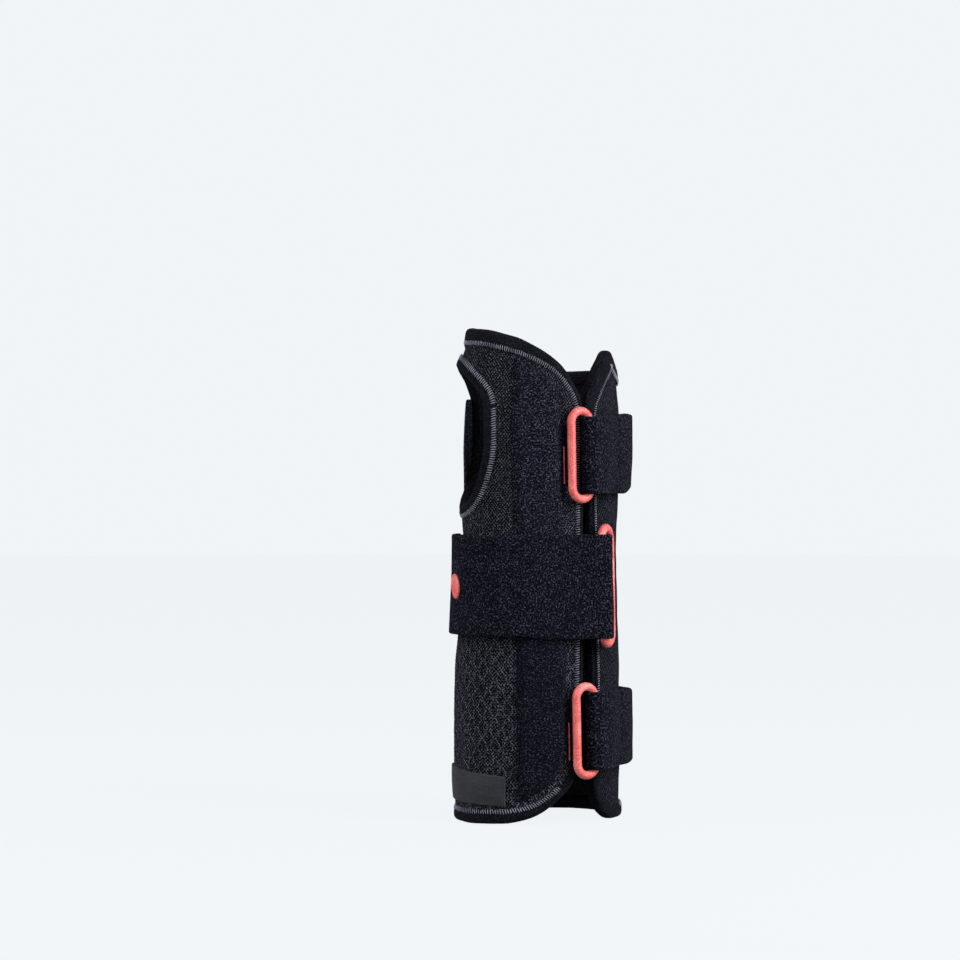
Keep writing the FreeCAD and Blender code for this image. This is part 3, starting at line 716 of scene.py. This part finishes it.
radial_panel = cloth_layer("radial_mesh_panel", -1, 0.7, radial_faces, MESH, "spacer_mesh",
                           "radial_panel")
ulnar_panel = cloth_layer("ulnar_ribbed_panel", 1, 0.9, ulnar_faces, RIBBED, "ribbed_knit", "ulnar_panel")
radial_lining = cloth_layer("radial_terry_lining", -1, 1.3, lining_faces(9), TERRY, "terry_lining",
                            "radial_lining")
ulnar_lining = cloth_layer("ulnar_terry_lining", 1, 1.3, lining_faces(10), TERRY, "terry_lining",
                           "ulnar_lining")

# ---- bindings and their cover stitch ----


def width_along(edge, keys):
    """A size that changes along an edge: keys are (s, z, value) at places near the edge."""
    spots = sorted((int(np.argmin(np.hypot(edge[:, 0] - a, edge[:, 1] - b))), v) for a, b, v in keys)
    at = np.arange(len(edge))
    raw = np.interp(at, [i for i, _ in spots], [v for _, v in spots])
    return softened(raw[:, None], 30)[:, 0]


def binding(name, edge, out, width, seed, closed):
    """Tape folded over an edge; out is +1 where the cloth ends to the right of the line.

    Its profile gives a share of the width, a distance past the edge, and a height off the cloth.
    """
    _, right = frames(edge, closed)
    away = right * out
    run = np.arange(len(edge)) * STEP
    w = np.broadcast_to(width, (len(edge),))
    profile = [(-1, 0, 0.06), (-1, -0.05, 0.5), (-1, 0.35, 0.82), (-0.75, 0, 0.9), (-0.45, 0, 0.95),
               (0, -1.4, 0.95), (0, -0.5, 0.8), (0, 0.2, 0.35), (0, 0.58, -0.4), (0, 0.7, -1.3),
               (0, 0.7, -2.2), (0, 0.52, -3.1), (0, 0, -3.85), (0, -0.8, -4.2), (-0.5, 0, -4.3),
               (-1, 0.4, -4.25), (-1, 0, -3.95), (-1, 0, -3.45), (-0.5, 0, -3.42), (0, -0.9, -3.4),
               (0, -0.35, -2.9), (0, -0.3, -1.6), (0, -0.35, -0.3), (0, -0.9, 0.02), (-0.5, 0, 0.04)]
    bulge = 0.1 * ripple(run, 0 * run, seed, 9.0) + 0.07 * ripple(run, 0 * run, seed + 1, 3.1)
    rings, flats = [], []
    for k, (share, beyond, height) in enumerate(profile):
        across = w * share + beyond + 0.5 * bulge * (4 < k < 14)
        level = height + (0 < k < 16) * bulge * (1 if height > -1.5 else -1)
        spot = edge + away * across[:, None]
        rings.append(place(spot[:, 0], np.maximum(spot[:, 1], 0.0), level))
        flats.append(np.stack([run, across + (8 if height < -2 else 0)], 1))
    obj = sweep(name, np.stack(rings, 1), np.stack(flats, 1), TAPE, closed)
    return fix_normals(obj)


def capsule(length, radius, arch, segments=5, around=6):
    """Points of a short rounded thread along x, arched up in z, and its faces."""
    t = np.linspace(-1, 1, segments)
    girth = radius * np.sqrt(np.clip(1 - np.abs(t) ** 3 * 0.85, 0.05, 1))
    turn = np.arange(around) * 2 * math.pi / around
    x = np.repeat(t * length / 2, around)
    y = (girth[:, None] * np.cos(turn)).ravel()
    up = (girth[:, None] * np.sin(turn)).ravel() + np.repeat(arch * (1 - t ** 2), around)
    points = np.stack([x, y, up], 1)
    faces = [tuple(f) for f in grid_faces(segments, around, wrap=True)]
    faces += [tuple(range(around))[::-1], tuple(range((segments - 1) * around, segments * around))]
    return points, faces


def stitches(name, spots, directions, lengths, radius, base, step_down, material, arch=0.16):
    """Threads on the flat cloth: each lies along its direction, from the binding down to the panel."""
    all_points, all_faces, flats, count = [], [], [], 0
    for (s0, z0), (ds, dz), size in zip(spots, directions, lengths):
        points, faces = capsule(size, radius, arch)
        x, y, up = points.T
        ss = s0 + ds * x - dz * y
        zz = z0 + dz * x + ds * y
        drop = step_down * (x / size + 0.5)
        all_points.append(place(ss, zz, base - drop + up))
        flats.append(np.stack([ss, zz], 1))
        all_faces += [tuple(i + count for i in f) for f in faces]
        count += len(points)
    return fix_normals(make_object(name, np.concatenate(all_points), all_faces, np.concatenate(flats),
                                   material))


LADDER_PITCH = 0.98
RUNG_LENGTH, RUNG_RADIUS, RUNG_LEAN = 2.1, 0.17, 0.22
TAPE_TOP, TAPE_STEP = 0.97, 0.65      # offset of a binding's face, and how far the panel lies below it


def ladder(name, edge, out, distance, skip, closed, seed):
    """Cover stitch: rungs across the inner edge of a binding."""
    _, right = frames(edge, closed)
    rng = np.random.default_rng(seed)
    line = edge - right * out * np.broadcast_to(distance, (len(edge),))[:, None]
    run = np.concatenate([[0.0], np.cumsum(np.linalg.norm(np.diff(line, axis=0), axis=1))])
    at = np.arange(0.6, run[-1] - 0.4, LADDER_PITCH)
    at = at + rng.uniform(-0.06, 0.06, len(at))
    spots = np.stack([np.interp(at, run, line[:, k]) for k in (0, 1)], 1)
    inward = -np.stack([np.interp(at, run, right[:, k] * out) for k in (0, 1)], 1)
    inward /= np.linalg.norm(inward, axis=1)[:, None]
    lean = RUNG_LEAN + rng.uniform(-0.12, 0.12, len(at))
    along = np.stack([-inward[:, 1], inward[:, 0]], 1)
    direction = inward + along * lean[:, None]
    direction /= np.linalg.norm(direction, axis=1)[:, None]
    wanted = np.ones(len(at), bool)
    if skip is not None:
        wanted = ~skip(spots[:, 0], spots[:, 1])
    lengths = RUNG_LENGTH * rng.uniform(0.85, 1.1, len(at))
    return stitches(name, spots[wanted], direction[wanted], lengths[wanted], RUNG_RADIUS, TAPE_TOP,
                    TAPE_STEP, THREAD)


RADIAL_WIDTH = width_along(RADIAL_EDGE, [
    (-HALF_ROUND, HEM, 4.6), (-60, HEM, 4.6), (-35, 1.5, 4.4), (-13.5, 11.7, 3.2), (-2.4, 38, 2.8),
    (-1.6, 60, 2.8), (0, 120, 2.8), (1.2, 163, 2.9), (-3.4, 182, 3.2), (-11, 190.5, 3.8),
    (-30, 201, 5.0), (-60, 204, 5.3), (-HALF_ROUND, 188, 5.2)])
ULNAR_WIDTH = width_along(ULNAR_EDGE, [
    (HALF_ROUND, HEM, 4.8), (30, HEM, 4.8), (4, 20, 3.4), (4.8, 60, 3.0), (4.8, 150, 3.0),
    (3.7, 166, 4.0), (4, 174, 5.4), (11.5, 187, 6.4), (22, 195, 6.4), (32, 190, 5.6), (50, 188.5, 5.4),
    (HALF_ROUND, 188, 5.2)])
THUMB_WIDTH = np.full(len(THUMB_EDGE), 4.3)

for name, edge, out, width, seed, closed, node in (
        ("radial_edge_tape", RADIAL_EDGE, 1, RADIAL_WIDTH, 21, False, "radial_edge_binding"),
        ("ulnar_edge_tape", ULNAR_EDGE, -1, ULNAR_WIDTH, 23, False, "ulnar_edge_binding"),
        ("thumb_edge_tape", THUMB_EDGE, -THUMB_SIGN, THUMB_WIDTH, 25, True, "thumb_binding")):
    finish_piece(binding(name, edge, out, width, seed, closed), "wrap", "binding_tape", node)

for name, edge, out, width, skip, closed in (
        ("radial_cover_stitch", RADIAL_EDGE, 1, RADIAL_WIDTH,
         lambda s, z: (s > -13) & (z > 8) & (z < 44), False),
        ("ulnar_cover_stitch", ULNAR_EDGE, -1, ULNAR_WIDTH,
         lambda s, z: (s < 25) & (z < 26), False),
        ("thumb_cover_stitch", THUMB_EDGE, -THUMB_SIGN, THUMB_WIDTH, None, True)):
    line = ladder(name, edge, out, width, skip, closed, len(name))
    finish_piece(line, "wrap", "binding_tape")

# ---- tongue, strip over the dorsal stay, palm side ----


def columns_grid(s_values, low, high, rows):
    """A grid of columns between two heights (arrays), with rows gathered near both ends."""
    t = np.linspace(0, 1, rows)
    t = np.concatenate([[0.0], [0.15 * t[1], 0.5 * t[1]], t[1:-1],
                        [1 - 0.5 * t[1], 1 - 0.15 * t[1]], [1.0]])
    z = low[None, :] + (high - low)[None, :] * t[:, None]
    return np.broadcast_to(s_values[None, :], z.shape).copy(), z


def rim_distance(s, z, s_low, s_high, z_low, z_high):
    return np.minimum(np.minimum(s - s_low, s_high - s), np.minimum(z - z_low, z_high - z))


def rounded(distance, radius):
    """0 at the rim, 1 a radius in, as a quarter round."""
    t = np.clip(distance / radius, 0, 1)
    return np.sqrt(np.clip(1 - (1 - t) ** 2, 0, 1))


def clustered(low, high, step):
    """Values from low to high with a few close together at both ends."""
    middle = np.linspace(low, high, int((high - low) / step) + 1)
    first = middle[1] - middle[0]
    ends = np.array([0.12, 0.35, 0.65]) * first
    return np.concatenate([[low], low + ends, middle[1:-1], high - ends[::-1], [high]])


STRIP_INSET = 7.0                   # the strip's distance from the panel's edge
STRIP_LEFT_X, STRIP_RIGHT_X = -28.0, -9.3
inset = moved(RADIAL_EDGE, -STRIP_INSET)
strip_s = clustered(back_s(STRIP_LEFT_X, 100.0), back_s(STRIP_RIGHT_X, 100.0), 0.8)
lower = inset[(inset[:, 1] < 60) & (inset[:, 0] > -45)]
upper = inset[(inset[:, 1] > 140) & (inset[:, 0] > -45)]
lower, upper = lower[np.argsort(lower[:, 0])], upper[np.argsort(upper[:, 0])]
low = softened(np.interp(strip_s, lower[:, 0], lower[:, 1])[:, None], 6)[:, 0]
high = softened(np.interp(strip_s, upper[:, 0], upper[:, 1])[:, None], 6)[:, 0]
s, z = columns_grid(strip_s, low, high, 210)
distance = rim_distance(s, z, strip_s[0], strip_s[-1], low[None, :], high[None, :])
outer = (0.1 + 0.55 * rounded(distance, 1.0) + 1.65 * smooth(0.7, 3.0, distance)
         - 0.15 * np.exp(-((distance - 1.5) / 0.45) ** 2)
         + 0.14 * ripple(s, z, 31, 16.0) * smooth(0, 3, distance) + 0.05 * ripple(s, z, 32, 4.0))
inner = np.maximum(outer - 0.75, 0.06)
loop_strip = patch("dorsal_loop_strip", s, z, outer, inner, LOOP)
finish_piece(loop_strip, "wrap", "loop_fabric", "dorsal_stay_pocket")

rng = np.random.default_rng(77)
heights = []
at = 26.0
while at < 172.0:
    size = rng.uniform(1.1, 2.3)
    if not 72 < at < 124:
        heights.append((at, size))
    at += size + rng.uniform(0.9, 1.9)
strip_right = float(strip_s[-1])
spots = np.array([(strip_right - 1.25 + rng.uniform(-0.25, 0.25), a) for a, _ in heights])
turns = rng.uniform(-0.25, 0.25, len(heights))
running = stitches("strip_running_stitch", spots, np.stack([np.sin(turns), np.cos(turns)], 1),
                   [b for _, b in heights], 0.15, 0.58, 0.0, PALE_THREAD, 0.12)
finish_piece(running, "wrap", "loop_fabric")

TONGUE_HALF, TONGUE_LOW, TONGUE_HIGH = 17.3, 24.0, 171.0
tongue_s = clustered(-TONGUE_HALF, TONGUE_HALF, 1.2)
s, z = columns_grid(tongue_s, TONGUE_LOW + 0 * tongue_s, TONGUE_HIGH + 0 * tongue_s, 120)
distance = rim_distance(s, z, -TONGUE_HALF, TONGUE_HALF, TONGUE_LOW, TONGUE_HIGH)
middle = -5.15 + 0.1 * ripple(s, z, 41, 20.0)
half = 0.12 + 0.58 * rounded(distance, 1.2)
tongue = patch("inner_tongue", s, z, middle + half, middle - half, MESH)
finish_piece(tongue, "wrap", "spacer_mesh", "dorsal_tongue")

HOLE_CLEAR = 6.2        # palm cloth keeps this far from the thumb hole's edge


def thumb_reach(z, half_x):
    """How far towards the thumb palm cloth may reach at each height: short of the hole's tape."""
    grown = moved(THUMB_EDGE, THUMB_SIGN * HOLE_CLEAR, True)
    from_palm = HALF_ROUND + grown[:, 0]
    reach = np.full(z.shape, half_x)
    for index, height in enumerate(z):
        near = np.abs(grown[:, 1] - height) < 1.0
        if near.any():
            reach[index] = min(half_x, from_palm[near].min())
    return softened(reach[:, None], 12)[:, 0]


def palm_patch(name, half_x, z_low, z_high, outer_of, inner_of, material, step=0.9, rows=170,
               clear=False):
    """Cloth on the middle of the palm side; t runs across it, -half_x to half_x."""
    across = clustered(-half_x, half_x, step)
    t, z = columns_grid(across, np.full(len(across), z_low), np.full(len(across), z_high), rows)
    distance = rim_distance(t, z, -half_x, half_x, z_low, z_high)
    if clear:
        reach = thumb_reach(z[:, 0], half_x)[:, None]
        middle = -2.0
        t = np.where(t > middle, middle + (t - middle) * (reach - middle) / (half_x - middle), t)
        distance = np.minimum(distance, rim_distance(t, z, -half_x, reach, z_low, z_high))
    outer, inner = outer_of(t, z, distance), inner_of(t, z, distance)
    return fix_normals(patch(name, HALF_ROUND - t, z, outer, inner, material))


loop_panel = palm_patch(
    "palm_loop_panel", 28.5, 15.0, 176.0,
    lambda t, z, d: 0.1 + 0.85 * rounded(d, 0.9) - 0.3 * np.exp(-((d - 2.2) / 0.5) ** 2)
    + 0.25 * smooth(2.6, 5, d) + 0.1 * ripple(t, z, 51, 14.0) * smooth(1, 4, d),
    lambda t, z, d: 0.06 + 0 * t, LOOP, clear=True)
finish_piece(loop_panel, "wrap", "loop_fabric", "volar_loop_panel")


def stay_cover(t, z, d):
    """Offset of the pocket's outer face: flat rims, and a raised bed over the straight stay."""
    raised = 4.45 + 0.25 * (np.minimum(np.abs(t), 8) / 7) ** 2
    shoulder = smooth(11.2, 8.0, np.abs(t)) * smooth(17.0, 21.5, z)
    rim = 1.35 + 0.75 * rounded(np.minimum(13.4 - np.abs(t), d + 0.3), 0.8)
    rim = rim - 0.2 * np.exp(-((d - 1.6) / 0.4) ** 2)
    return rim + (raised - rim) * shoulder + 0.1 * ripple(t, z, 53, 15.0) * smooth(1, 4, d)


pocket = palm_patch("palm_stay_pocket", 13.4, 18.0, 173.0, stay_cover,
                    lambda t, z, d: np.maximum(stay_cover(t, z, d) - 0.95, 1.3), LOOP, 0.7)
finish_piece(pocket, "wrap", "loop_fabric", "volar_stay_pocket")

tape = palm_patch("palm_seam_tape", 6.2, 7.0, 181.0,
                  lambda t, z, d: -3.55 + 0 * t,
                  lambda t, z, d: -3.6 - 0.5 * rounded(d, 0.7) + 0.05 * ripple(t, z, 55, 6.0),
                  TAPE, 1.1, 140)
finish_piece(tape, "wrap", "binding_tape", "volar_seam_tape")

for name, half_x, z_low, z_high, base, all_round in (
        ("palm_panel_stitch", 26.3, 17.2, 173.8, 0.78, True),
        ("palm_pocket_stitch", 11.8, 19.6, 172.4, 2.0, False)):
    box_line = [(-half_x, z_high), (-half_x, z_low), (half_x, z_low), (half_x, z_high)]
    line = evenly(np.array(box_line + box_line[:1] * all_round, float), 2.4)
    way, _ = frames(line)
    seam = stitches(name, np.stack([HALF_ROUND - line[:, 0], line[:, 1]], 1),
                    np.stack([-way[:, 0], way[:, 1]], 1), [1.8] * len(line), 0.17, base, 0.0, THREAD, 0.1)
    finish_piece(seam, "wrap", "loop_fabric")

# ---- woven label ----

label_right = back_s(-31.9, 14.0)
label_left = palm_s(-31.5, 14.0, -1)
label_s = clustered(label_left, label_right, 0.7)
share = (label_s - label_left) / (label_right - label_left)
low, high = 9.0 - 1.2 * share, 23.4 - 3.2 * share
s, z = columns_grid(label_s, low, high, 30)
distance = rim_distance(s, z, label_left, label_right, low[None, :], high[None, :])
outer = (0.25 + 0.5 * rounded(distance, 0.4) + 0.35 * smooth(0.5, 5.0, distance)
         + 0.1 * ripple(s, z, 61, 9.0) + forearm_bulge(s, z))
label = patch("side_label", s, z, outer, outer - 0.45, SATIN)
finish_piece(label, "wrap", "label_satin", "woven_label")

# ---- rings, straps, hook tabs ----

UP = surface(0.0, LENGTH) - surface(0.0, 0.0)
UP = UP / np.linalg.norm(UP)
STANDOFF, PITCH = 3.8, 9.8          # a ring's middle above the cloth, and between its two bars


class Ring:
    """Where a ring lies: its middle, and the directions along the cloth and inwards."""

    def __init__(self, x, z, side, tilt=0.0):
        self.z, self.side = z, side
        tilt = math.radians(tilt)
        width, depth = float(half_width(z)), float(half_depth(z))
        turn = math.asin(x / (width + STANDOFF))
        self.middle = surface(math.degrees(turn), z, STANDOFF)
        yaw = math.atan2(depth * math.sin(turn), width * math.cos(turn))
        self.across = np.array([math.cos(yaw), math.sin(yaw), 0.0])
        self.inward = np.array([-math.sin(yaw), math.cos(yaw), 0.0])
        self.away = -side
        self.bar = side * PITCH * (0.5 - math.cos(tilt))
        self.bar_in = -PITCH * math.sin(tilt)
        self.bar_angle = math.degrees(math.asin((x + self.away * PITCH / 2) / width))

    def point(self, along, inward, height):
        """A point beside the ring's middle, at a height above it."""
        return (self.middle + UP * (height / UP[2]) + self.across * along + self.inward * inward)

    def round_bar(self, radius, turns, height):
        """Points round the free bar; 90 degrees is straight out from the cloth."""
        return [self.point(self.bar + self.away * radius * math.cos(math.radians(a)),
                           self.bar_in - radius * math.sin(math.radians(a)), height) for a in turns]


STRAP_THICK, STRAP_OFFSET, STRAP_END = 1.8, 3.45, 148.0
FOLD_RADIUS = 3.62
FOLD_TURNS = [186, 177, 168, 158, 148, 135, 120, 105, 92, 80]
PAST_FOLD = [(3.4, -2.75, 0.7), (7.4, -1.35, 0.25)]     # along, inward, share of the bar's own inward
SIDE_LIFT = 1.1         # how much further the straps stand off the sides than the back
WEB_THICK, WEB_OFFSET = 0.5, 1.35
CURL_RADIUS = 2.15
CURL_TURNS = [150, 165, 180, 197, 214, 231, 248]


def strap_lines(ring, heights):
    """Rows of middle lines, one for each height: round the free bar, down, and along the wrap."""
    rows = []
    for height in heights:
        line = ring.round_bar(FOLD_RADIUS, FOLD_TURNS, height)
        for along, inward, share in PAST_FOLD:
            line.append(ring.point(ring.bar + ring.away * along, inward + share * ring.bar_in, height))
        start = ring.bar_angle + ring.away * 23.0
        angles = np.linspace(start, ring.away * STRAP_END, 32)
        lift = smooth(28.0, 55.0, np.abs(angles)) * smooth(122.0, 100.0, np.abs(angles))
        line += list(surface(angles, ring.z + height, STRAP_OFFSET + SIDE_LIFT * lift))
        rows.append(spline(np.array(line), 5))
    return np.stack(rows, 1)


def strap_mesh(name, width, thick, lines_of, drift, seed, round_end):
    """A swept strap with rounded edges; lines_of(heights) gives stations x heights middle points."""
    half = width / 2
    edge = thick / 2
    flat_w = np.linspace(-half + edge, half - edge, max(8, int(width / 1.4)))
    turn = np.radians(np.array([-60.0, -30.0, 0.0, 30.0, 60.0]))
    w = np.concatenate([flat_w, half - edge + edge * np.cos(turn), flat_w[::-1],
                        -half + edge - edge * np.cos(turn)])
    n = np.concatenate([np.full(len(flat_w), 1.0), -np.sin(turn), np.full(len(flat_w), -1.0),
                        np.sin(turn)])
    middle = lines_of(w)
    tangent = np.gradient(middle, axis=0)
    tangent[..., 2] = 0
    tangent /= np.linalg.norm(tangent, axis=2)[..., None]
    out = np.stack([tangent[..., 1], -tangent[..., 0], np.zeros(tangent.shape[:2])], -1)
    if np.mean(np.sum(out[-30:] * (middle[-30:] * [1, 1, 0]), axis=2)) < 0:
        out = -out
    run = np.concatenate([[0.0], np.cumsum(np.linalg.norm(np.diff(middle[:, 0], axis=0), axis=1))])
    left = run[-1] - run
    corner = np.sqrt(np.clip(round_end ** 2 - (round_end - left) ** 2, 0, None))
    limit = np.where(left < round_end, half - round_end + corner, half)
    taper = 0.35 + 0.65 * np.sqrt(np.clip(1 - (1 - np.clip(left / 1.0, 0, 1)) ** 2, 0, 1))
    ww = w[None, :] * (limit / half)[:, None]
    runs = np.broadcast_to(run[:, None], ww.shape)
    bend = 0.16 * ripple(runs, ww, seed, 21.0) + 0.05 * ripple(runs, ww, seed + 1, 5.0)
    level = n[None, :] * edge * taper[:, None] + bend
    points = middle + out * level[..., None]
    share = ww / half
    points[..., 2] += ww - w[None, :]
    points[..., 2] += drift(runs, share) + share * 0.18 * ripple(runs, 0 * runs, seed + 2, 17.0)
    return fix_normals(sweep(name, points, np.stack([runs, ww], -1), PLUSH))


def build_strap(tag, ring, width, drift):
    piece = strap_mesh("strap_" + tag + "_plush", width, STRAP_THICK, lambda w: strap_lines(ring, w),
                       drift, 100 + len(tag), round_end=5.0)
    return finish_piece(piece, "strap_" + tag, "strap_plush", "strap_" + tag)


def base_lines(ring, heights, end):
    """The lower layer: curls round the free bar inside the strap's fold, then lies on the wrap."""
    rows = []
    for height in heights:
        line = ring.round_bar(CURL_RADIUS, CURL_TURNS, height)
        angles = np.linspace(ring.bar_angle + ring.away * 4.5, ring.away * end, 26)
        line += list(surface(angles, ring.z + height, WEB_OFFSET))
        rows.append(spline(np.array(line), 5))
    return np.stack(rows, 1)


def build_base(tag, ring, width, end):
    piece = strap_mesh("strap_base_" + tag + "_web", width, WEB_THICK, lambda w: base_lines(ring, w, end),
                       lambda r, share: 0 * r, 200 + len(tag), round_end=1.0)
    start = ring.point(ring.bar + ring.away * 5.0, 3.4, 0.0) * 0.001
    end = ring.point(ring.bar - ring.away * 1.5, 2.0, 0.0) * 0.001
    "ring_" + tag
    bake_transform(piece)
    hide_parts("strap_base_" + tag)


def hook_tab(tag, ring, width):
    """Hook tape under the strap's end: a thin band with rows of small hooks on its inner face."""
    away = ring.away
    s_range = sorted((float(arc(away * 114.5)), float(arc(away * 139.5))))
    low, high = ring.z - width / 2 + 2.0, ring.z + width / 2 - 2.0
    across = clustered(s_range[0], s_range[1], 1.2)
    s, z = columns_grid(across, np.full(len(across), low), np.full(len(across), high), 24)
    distance = rim_distance(s, z, s_range[0], s_range[1], low, high)
    outer = 2.2 + 0 * s
    inner = 2.15 - 0.3 * rounded(distance, 0.5)
    band = patch("hook_tape_" + tag, s, z, outer, inner, HOOK)
    finish_piece(band, "strap_" + tag, "hook_tape", "hook_tab_" + tag)
    rows = [(a, b) for a in np.arange(s_range[0] + 1.2, s_range[1] - 0.8, 1.5)
            for b in np.arange(low + 1.2, high - 0.8, 1.5)]
    points, faces, flats = [], [], []
    stem = [(0.0, 0.16), (0.32, 0.12), (0.46, 0.26), (0.56, 0.12)]
    turn = np.arange(5) * 2 * math.pi / 5
    for a, b in rows:
        base = len(points)
        for depth, radius in stem:
            ring_s, ring_z = a + radius * np.cos(turn), b + radius * np.sin(turn)
            points.extend(place(ring_s, ring_z, 1.9 - depth))
            flats.extend(np.stack([ring_s, ring_z], 1))
        faces += [tuple(f) for f in grid_faces(4, 5, base, wrap=True)]
        faces += [tuple(base + k for k in range(4, -1, -1)), tuple(base + 15 + k for k in range(5))]
    hooks = fix_normals(make_object("hooks_" + tag, np.array(points), faces, np.array(flats), HOOK))
    finish_piece(hooks, "strap_" + tag, "hook_tape")
    return band


def side_drift(rise, cut, fall=0.0):
    """The strap's top climbs on its way round; past the side its edges draw down and up."""
    def drift(run, share):
        top = (rise * smooth(4, 38, run) - fall * smooth(30, 42, run)) * smooth(-0.6, 1.0, share)
        low = cut * smooth(32, 46, run) * smooth(0.4, -1.0, share)
        return top + low
    return drift


straps = {}
for tag, x, z, side, tilt, width, drift in (
        ("distal", -3.0, 152.3, -1, 0.0, 32.0, side_drift(1.8, 2.6)),
        ("wrist", 8.7, 98.0, 1, 18.0, 43.0, side_drift(0.0, 1.5)),
        ("proximal", -2.9, 38.5, -1, 0.0, 32.0, side_drift(0.6, 0.8, 2.0))):
    ring = Ring(x, z, side, tilt)
    piece = build_strap(tag, ring, width, drift)
    build_base(tag, ring, width - 1.6, 12.5 if tag == "wrist" else 76.0)
    straps[tag] = (ring, piece, hook_tab(tag, ring, width))


def bar_sweep(name, ring, profile, heights, material):
    """A rod beside a ring's anchor bar: profile gives its points along the cloth and inwards."""
    bar = ring.side * PITCH / 2
    rings = [[ring.point(bar + along, inward, h) for h in heights] for along, inward in profile]
    flats = [np.stack([heights, heights * 0 + along], 1) for along, _ in profile]
    return fix_normals(sweep(name, np.stack(rings, 1), np.stack(flats, 1), material))


def flange_cover(tag, ring):
    """Knit tape over the sewing flange, with the flange's red edge showing as a thin line beside it."""
    length = 25.0
    heights = np.linspace(-length / 2, length / 2, 40)
    profile = [(-1.65, 3.75), (-1.6, 2.9), (-1.45, 2.35), (-1.2, 1.95), (-0.7, 2.1), (0.0, 2.2),
               (0.7, 2.1), (1.2, 1.95), (1.45, 2.35), (1.6, 2.9), (1.65, 3.75)]
    finish_piece(bar_sweep("flange_cover_" + tag, ring, profile, heights, TAPE), "wrap", "binding_tape")
    if ring.side < 0:
        heights = np.linspace(-length / 2 + 0.5, length / 2 - 9.0, 30)
    lip = ring.side * 1.7
    profile = [(lip + 0.22 * math.cos(a), 3.1 + 0.34 * math.sin(a)) for a in np.arange(8) * math.pi / 4]
    finish_piece(bar_sweep("flange_edge_" + tag, ring, profile, heights, PLASTIC), "wrap",
                 "coral_plastic", "ring_flange_" + tag)


for tag, (ring, _, _) in straps.items():
    flange_cover(tag, ring)

# ---- CAD nodes that keep their shape ----

for names, material in (
        (["ring_distal", "ring_wrist", "ring_proximal", "strap_button"], PLASTIC),
        (["dorsal_stay", "button_backing"], STAY_PLASTIC),
        (["volar_stay"], METAL)):
    for name in names:
        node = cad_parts[name]
        node.data.materials.clear()
        node.data.materials.append(material)

# ---- sheets ----


def polygon_area(points):
    s0, z0 = points[:, 0], points[:, 1]
    return abs(float(np.sum(s0 * np.roll(z0, -1) - np.roll(s0, -1) * z0))) / 2e6


radial_area = polygon_area(np.concatenate([[(-HALF_ROUND, HEM)], RADIAL_EDGE, [(-HALF_ROUND, 188)]]))
radial_area -= polygon_area(THUMB_EDGE)
ulnar_area = polygon_area(np.concatenate([[(HALF_ROUND, HEM)], ULNAR_EDGE, [(HALF_ROUND, 188)]]))
for tag, length, width in (("distal", 0.1, 0.032), ("wrist", 0.1, 0.043), ("proximal", 0.1, 0.032)):
    _, piece, band = straps[tag]
    "ring_" + tag

# ---- floor and light ----

PALE = (0.871, 0.905, 0.930)


def pale_floor():
    g = Graph("pale_floor", Roughness=1.0, Specular_IOR_Level=0.0)
    vector = g.space()
    tone = g.noise(vector, 900.0, 1.0)
    g.colour(tone, [(0.0, (0.026, 0.027, 0.028)), (1.0, (0.029, 0.03, 0.031))])
    g.shader.inputs["Emission Color"].default_value = (*PALE, 1.0)
    g.shader.inputs["Emission Strength"].default_value = 0.975
    return g.material


around = np.arange(96) * 2 * math.pi / 96
radii = [0.0001, 150.0, 400.0, 900.0, 1800.0, 4000.0]
disc = np.concatenate([np.stack([r * np.cos(around), r * np.sin(around), 0 * around - 0.05], 1)
                       for r in radii])
floor = make_object("floor", disc, grid_faces(len(radii), 96, wrap=True), None, pale_floor())
floor.visible_diffuse = floor.visible_glossy = False

world = bpy.data.worlds.new("studio")
bpy.context.scene.world = world
world.use_nodes = True
background = world.node_tree.nodes["Background"]
background.inputs["Color"].default_value = (*PALE, 1.0)
seen = world.node_tree.nodes.new("ShaderNodeLightPath")
strength = world.node_tree.nodes.new("ShaderNodeMapRange")
strength.inputs["To Min"].default_value = 0.3
strength.inputs["To Max"].default_value = 1.0
world.node_tree.links.new(seen.outputs["Is Camera Ray"], strength.inputs["Value"])
world.node_tree.links.new(strength.outputs["Result"], background.inputs["Strength"])


def softbox(name, turn, rise, distance, width, height, power):
    """An area light at an angle to the camera's line (plus to the right), aimed at the splint."""
    aim = Vector((0.0, 0.0, 0.105))
    heading = math.radians(turn)
    flat = -LOOK * math.cos(heading) + RIGHT * math.sin(heading)
    lift = math.radians(rise)
    spot = aim + (flat * math.cos(lift) + Vector((0, 0, math.sin(lift)))) * distance
    data = bpy.data.lights.new(name, "AREA")
    data.shape = "RECTANGLE"
    data.size, data.size_y = width, height
    data.energy = power
    light = bpy.data.objects.new(name, data)
    light.location = spot
    light.rotation_euler = (aim - spot).to_track_quat("-Z", "Y").to_euler()
    bpy.context.scene.collection.objects.link(light)


softbox("key_light", 62, 25, 0.9, 0.5, 0.8, 12.0)
softbox("side_light", -70, 20, 0.9, 0.4, 0.8, 6.0)
softbox("front_light", -8, 35, 1.3, 0.6, 0.6, 3.0)
bpy.context.scene.view_settings.view_transform = "Standard"
